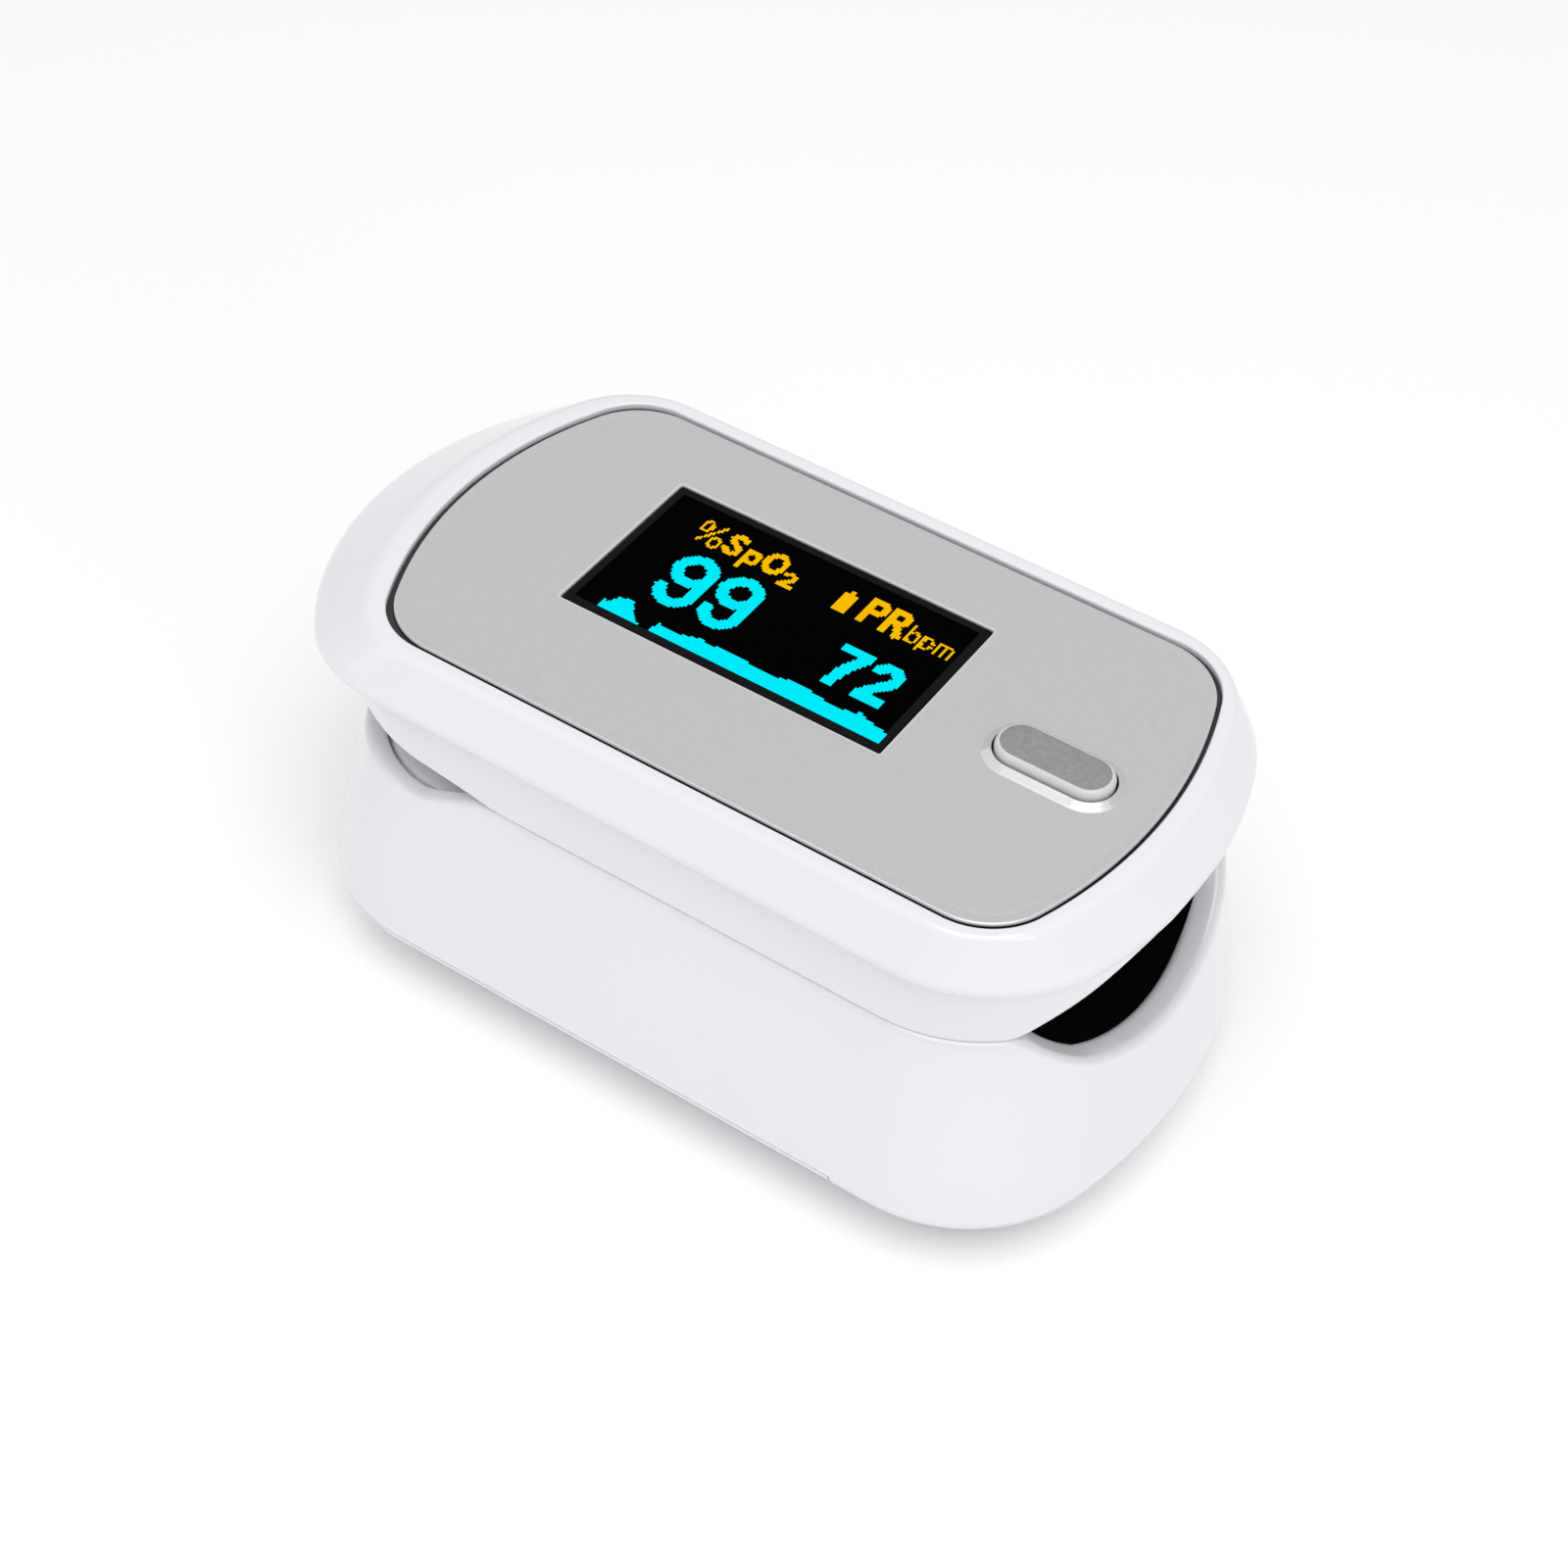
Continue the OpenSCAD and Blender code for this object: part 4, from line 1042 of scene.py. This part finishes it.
def build_pad(name, node, base, up, half, depth, edge, mouth, body_name, x_back, front_wall,
              flare_from, rise):
    """A trough of silicone that flares out behind the mouth: up is 1 for the lower pad, and -1
    for the upper. mouth is the trough's half width and depth where it ends."""
    wall_face = outline(front_wall)
    ahead = wall_face[wall_face[:, 0] > 0]
    order = np.argsort(ahead[:, 1])
    ahead = ahead[order]
    sheets = []
    for thickness in (0.0, PAD_T):
        rows = []
        for s in np.linspace(0, 1, 60):
            flare = smooth((s - flare_from) / (1 - flare_from)) ** 1.3
            h = half + (mouth[0] - half) * flare
            d = depth + (mouth[1] - depth) * flare
            section = pad_section(h, d, edge, FLANGE_HALF)
            front = np.interp(section[:, 0], ahead[:, 1], ahead[:, 0])
            x = x_back + (front - x_back) * s
            z = base - up * (mouth[1] - depth) * flare + up * (section[:, 1] - thickness)
            rows.append(np.c_[x, section[:, 0], z])
        sheets.append(np.array(rows))
    rows, columns = sheets[0].shape[:2]
    verts = np.vstack([sheets[0].reshape(-1, 3), sheets[1].reshape(-1, 3)])
    faces = []
    size = rows * columns
    for j in range(rows - 1):
        for i in range(columns - 1):
            a = j * columns + i
            quad = (a, a + 1, a + columns + 1, a + columns)
            faces += [quad, tuple(k + size for k in reversed(quad))]
    rim = ([i for i in range(columns)] + [j * columns + columns - 1 for j in range(1, rows)]
           + [(rows - 1) * columns + i for i in range(columns - 2, -1, -1)]
           + [j * columns for j in range(rows - 2, 0, -1)])
    for a, b in zip(rim, rim[1:] + rim[:1]):
        faces.append((b, a, a + size, b + size))
    wall_verts, wall_faces = end_wall(base, up, half, depth, edge, x_back, rise, len(verts))
    obj = mesh_object(name, np.vstack([verts, wall_verts]), faces + wall_faces, 50)
    side = SENSOR_WINDOW / 2
    cut_away(obj, (SENSOR_X - side, -side, base - 4), (SENSOR_X + side, side, base + 4))
    for f in obj.data.polygons:
        f.use_smooth = True
    material_slot(obj, silicone)
    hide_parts(node)
    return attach(obj, body_name)


TROUGH_Z = SPLIT - TROUGH_DEPTH
ARCH_Z = SPLIT + ARCH_HEIGHT
build_pad("lower_pad", "lower_finger_pad", TROUGH_Z, 1, CHANNEL_HALF, TROUGH_DEPTH, 1.0,
          (MOUTH_HALF, MOUTH_DEPTH), "lower_jaw", lower_pad_low[0],
          inset(mix(RIM_O, BELLY_O, 0.35), WALL + LIP_EXTRA - 0.25), 0.84, 0.9)
build_pad("upper_pad", "upper_finger_pad", ARCH_Z, -1, CHANNEL_HALF, ARCH_HEIGHT, 0.2,
          (MOUTH_HALF, MOUTH_HEIGHT - 0.2), "upper_jaw", upper_pad_low[0],
          inset(PARTING_O, WALL - 0.1), 0.925, 0.0)


# ---------------------------------------------------------------- inner pieces

def board_green():
    """Solder mask over a woven board."""
    t = Tree("circuit_board")
    weave = t.add("ShaderNodeTexBrick", {}, {"Vector": t.place(), "Scale": 900.0}, out="Fac")
    cloud = t.noise(400, 3)
    return t.finish(Base_Color=t.shade((0.008, 0.07, 0.03), (0.012, 0.11, 0.05), cloud),
                    Roughness=(0.30 + cloud * 0.15).clamp(), Normal=t.bump(weave, 0.2, 0.01 * MM))


def cell_wrap():
    """A cell's printed jacket: a dark barrel with a band at one end."""
    t = Tree("cell_jacket")
    x = t.add("ShaderNodeSeparateXYZ", {}, {0: t.place()}, out=0)
    band = x > 11 * MM
    scuff = t.noise(1500, 4, 0.7)
    return t.finish(Base_Color=t.add("ShaderNodeMix", {"data_type": "RGBA"}, {
        0: band, 6: t.shade((0.02, 0.05, 0.11), (0.03, 0.07, 0.15), scuff),
        7: t.shade((0.55, 0.42, 0.16), (0.62, 0.50, 0.22), scuff)}, out=2),
        Metallic=0.7, Roughness=(0.28 + scuff * 0.14).clamp(),
        Normal=t.bump(scuff, 0.2, 0.005 * MM))


FINISHES = {
    "main_board": board_green(), "cell": cell_wrap(), "chip": moulded(
        "chip_epoxy", (0.012, 0.012, 0.012), (0.02, 0.02, 0.02), 0.45, 0.1, 6000, 0.01),
    "film": moulded("ribbon_film", (0.30, 0.13, 0.02), (0.42, 0.19, 0.03), 0.3, 0.08, 2500, 0.004),
    "red_lens": moulded("emitter_lens", (0.35, 0.02, 0.01), (0.5, 0.04, 0.02), 0.12, 0.04, 3000,
                        0.002, coat=0.5),
    "dark_lens": moulded("sensor_lens", (0.02, 0.012, 0.02), (0.03, 0.02, 0.03), 0.12, 0.04, 3000,
                         0.002, coat=0.5),
}
NODE_FINISH = {
    "display_module": panel_black, "display_ribbon": FINISHES["film"],
    "main_board": FINISHES["main_board"], "board_chips": FINISHES["chip"], "switch_body": steel,
    "switch_plunger": FINISHES["chip"], "emitter_board": FINISHES["main_board"],
    "emitter_led": FINISHES["red_lens"], "upper_screws": steel, "lower_frame": inner_white,
    "sensor_board": FINISHES["main_board"], "photodiode": FINISHES["dark_lens"],
    "battery_left": FINISHES["cell"], "battery_right": FINISHES["cell"],
    "battery_springs": nickel, "rear_contacts": nickel, "bridge_contact": nickel,
    "lower_screws": steel, "hinge_pin": pin_steel, "left_torsion_spring": nickel,
    "right_torsion_spring": nickel,
}
for node, finish in NODE_FINISH.items():
    material_slot(nodes[node], finish)


def build_sensor_cable():
    """The film cable from the sensor: it rises behind the hinge from a fixed bend at its foot."""
    low, high = cad_box("flat_cable")
    thick, bend = 0.15, 0.8
    along = [(x, low[2] + thick / 2, 0.0) for x in np.linspace(high[0], low[0] + bend, 12)[:-1]]
    for a in np.linspace(0, math.pi / 2, 9):
        along.append((low[0] + bend - (bend - thick / 2) * math.sin(a),
                      low[2] + bend - (bend - thick / 2) * math.cos(a), a))
    along += [(low[0] + thick / 2, z, math.pi / 2)
              for z in np.linspace(low[2] + bend, high[2], 40)[1:]]
    rows = []
    for x, z, a in along:
        across = np.array([math.sin(a), 0, math.cos(a)]) * thick / 2
        middle = np.array([x, 0, z])
        rows += [middle + across + [0, low[1], 0], middle + across + [0, high[1], 0],
                 middle - across + [0, high[1], 0], middle - across + [0, low[1], 0]]
    faces = tube_faces(len(along), 4)
    faces += [(0, 1, 2, 3), tuple(range(len(rows) - 4, len(rows)))[::-1]]
    obj = mesh_object("sensor_cable", np.array(rows), faces, 40)
    material_slot(obj, FINISHES["film"])
    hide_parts("flat_cable")
    x = low[0] * MM
    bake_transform(obj)


build_sensor_cable()


# ---------------------------------------------------------------- studio

def build_floor():
    """A plain pale floor under the part."""
    bm = bmesh.new()
    bmesh.ops.create_grid(bm, x_segments=8, y_segments=8, size=3.0)
    floor = from_bmesh("floor", bm)
    t = Tree("paper")
    material_slot(floor, t.finish(Base_Color=(0.96, 0.96, 0.96, 1),
                                  Roughness=(0.85 + t.noise(40, 2) * 0.1).clamp()))


def soft_light(name, place, size, power):
    """A soft box turned towards the part."""
    data = bpy.data.lights.new(name, "AREA")
    data.shape, data.size, data.size_y = "RECTANGLE", size[0], size[1]
    data.energy = power
    light = bpy.data.objects.new(name, data)
    light.location = place
    light.rotation_mode = "QUATERNION"
    light.rotation_quaternion = (AIM - Vector(place)).to_track_quat("-Z", "Y")
    bpy.context.scene.collection.objects.link(light)


AIM = Vector((0, 0, 0.02))
build_floor()
world = bpy.data.worlds.new("studio")
bpy.context.scene.world = world
world.use_nodes = True
world.node_tree.nodes["Background"].inputs["Color"].default_value = (1, 1, 1, 1)
world.node_tree.nodes["Background"].inputs["Strength"].default_value = 0.65
soft_light("key", (0.12, -0.16, 0.58), (0.45, 0.45), 1.9)
soft_light("side", (0.50, -0.20, 0.24), (0.16, 0.26), 0.22)
soft_light("fill", (-0.42, -0.46, 0.16), (0.30, 0.20), 0.12)
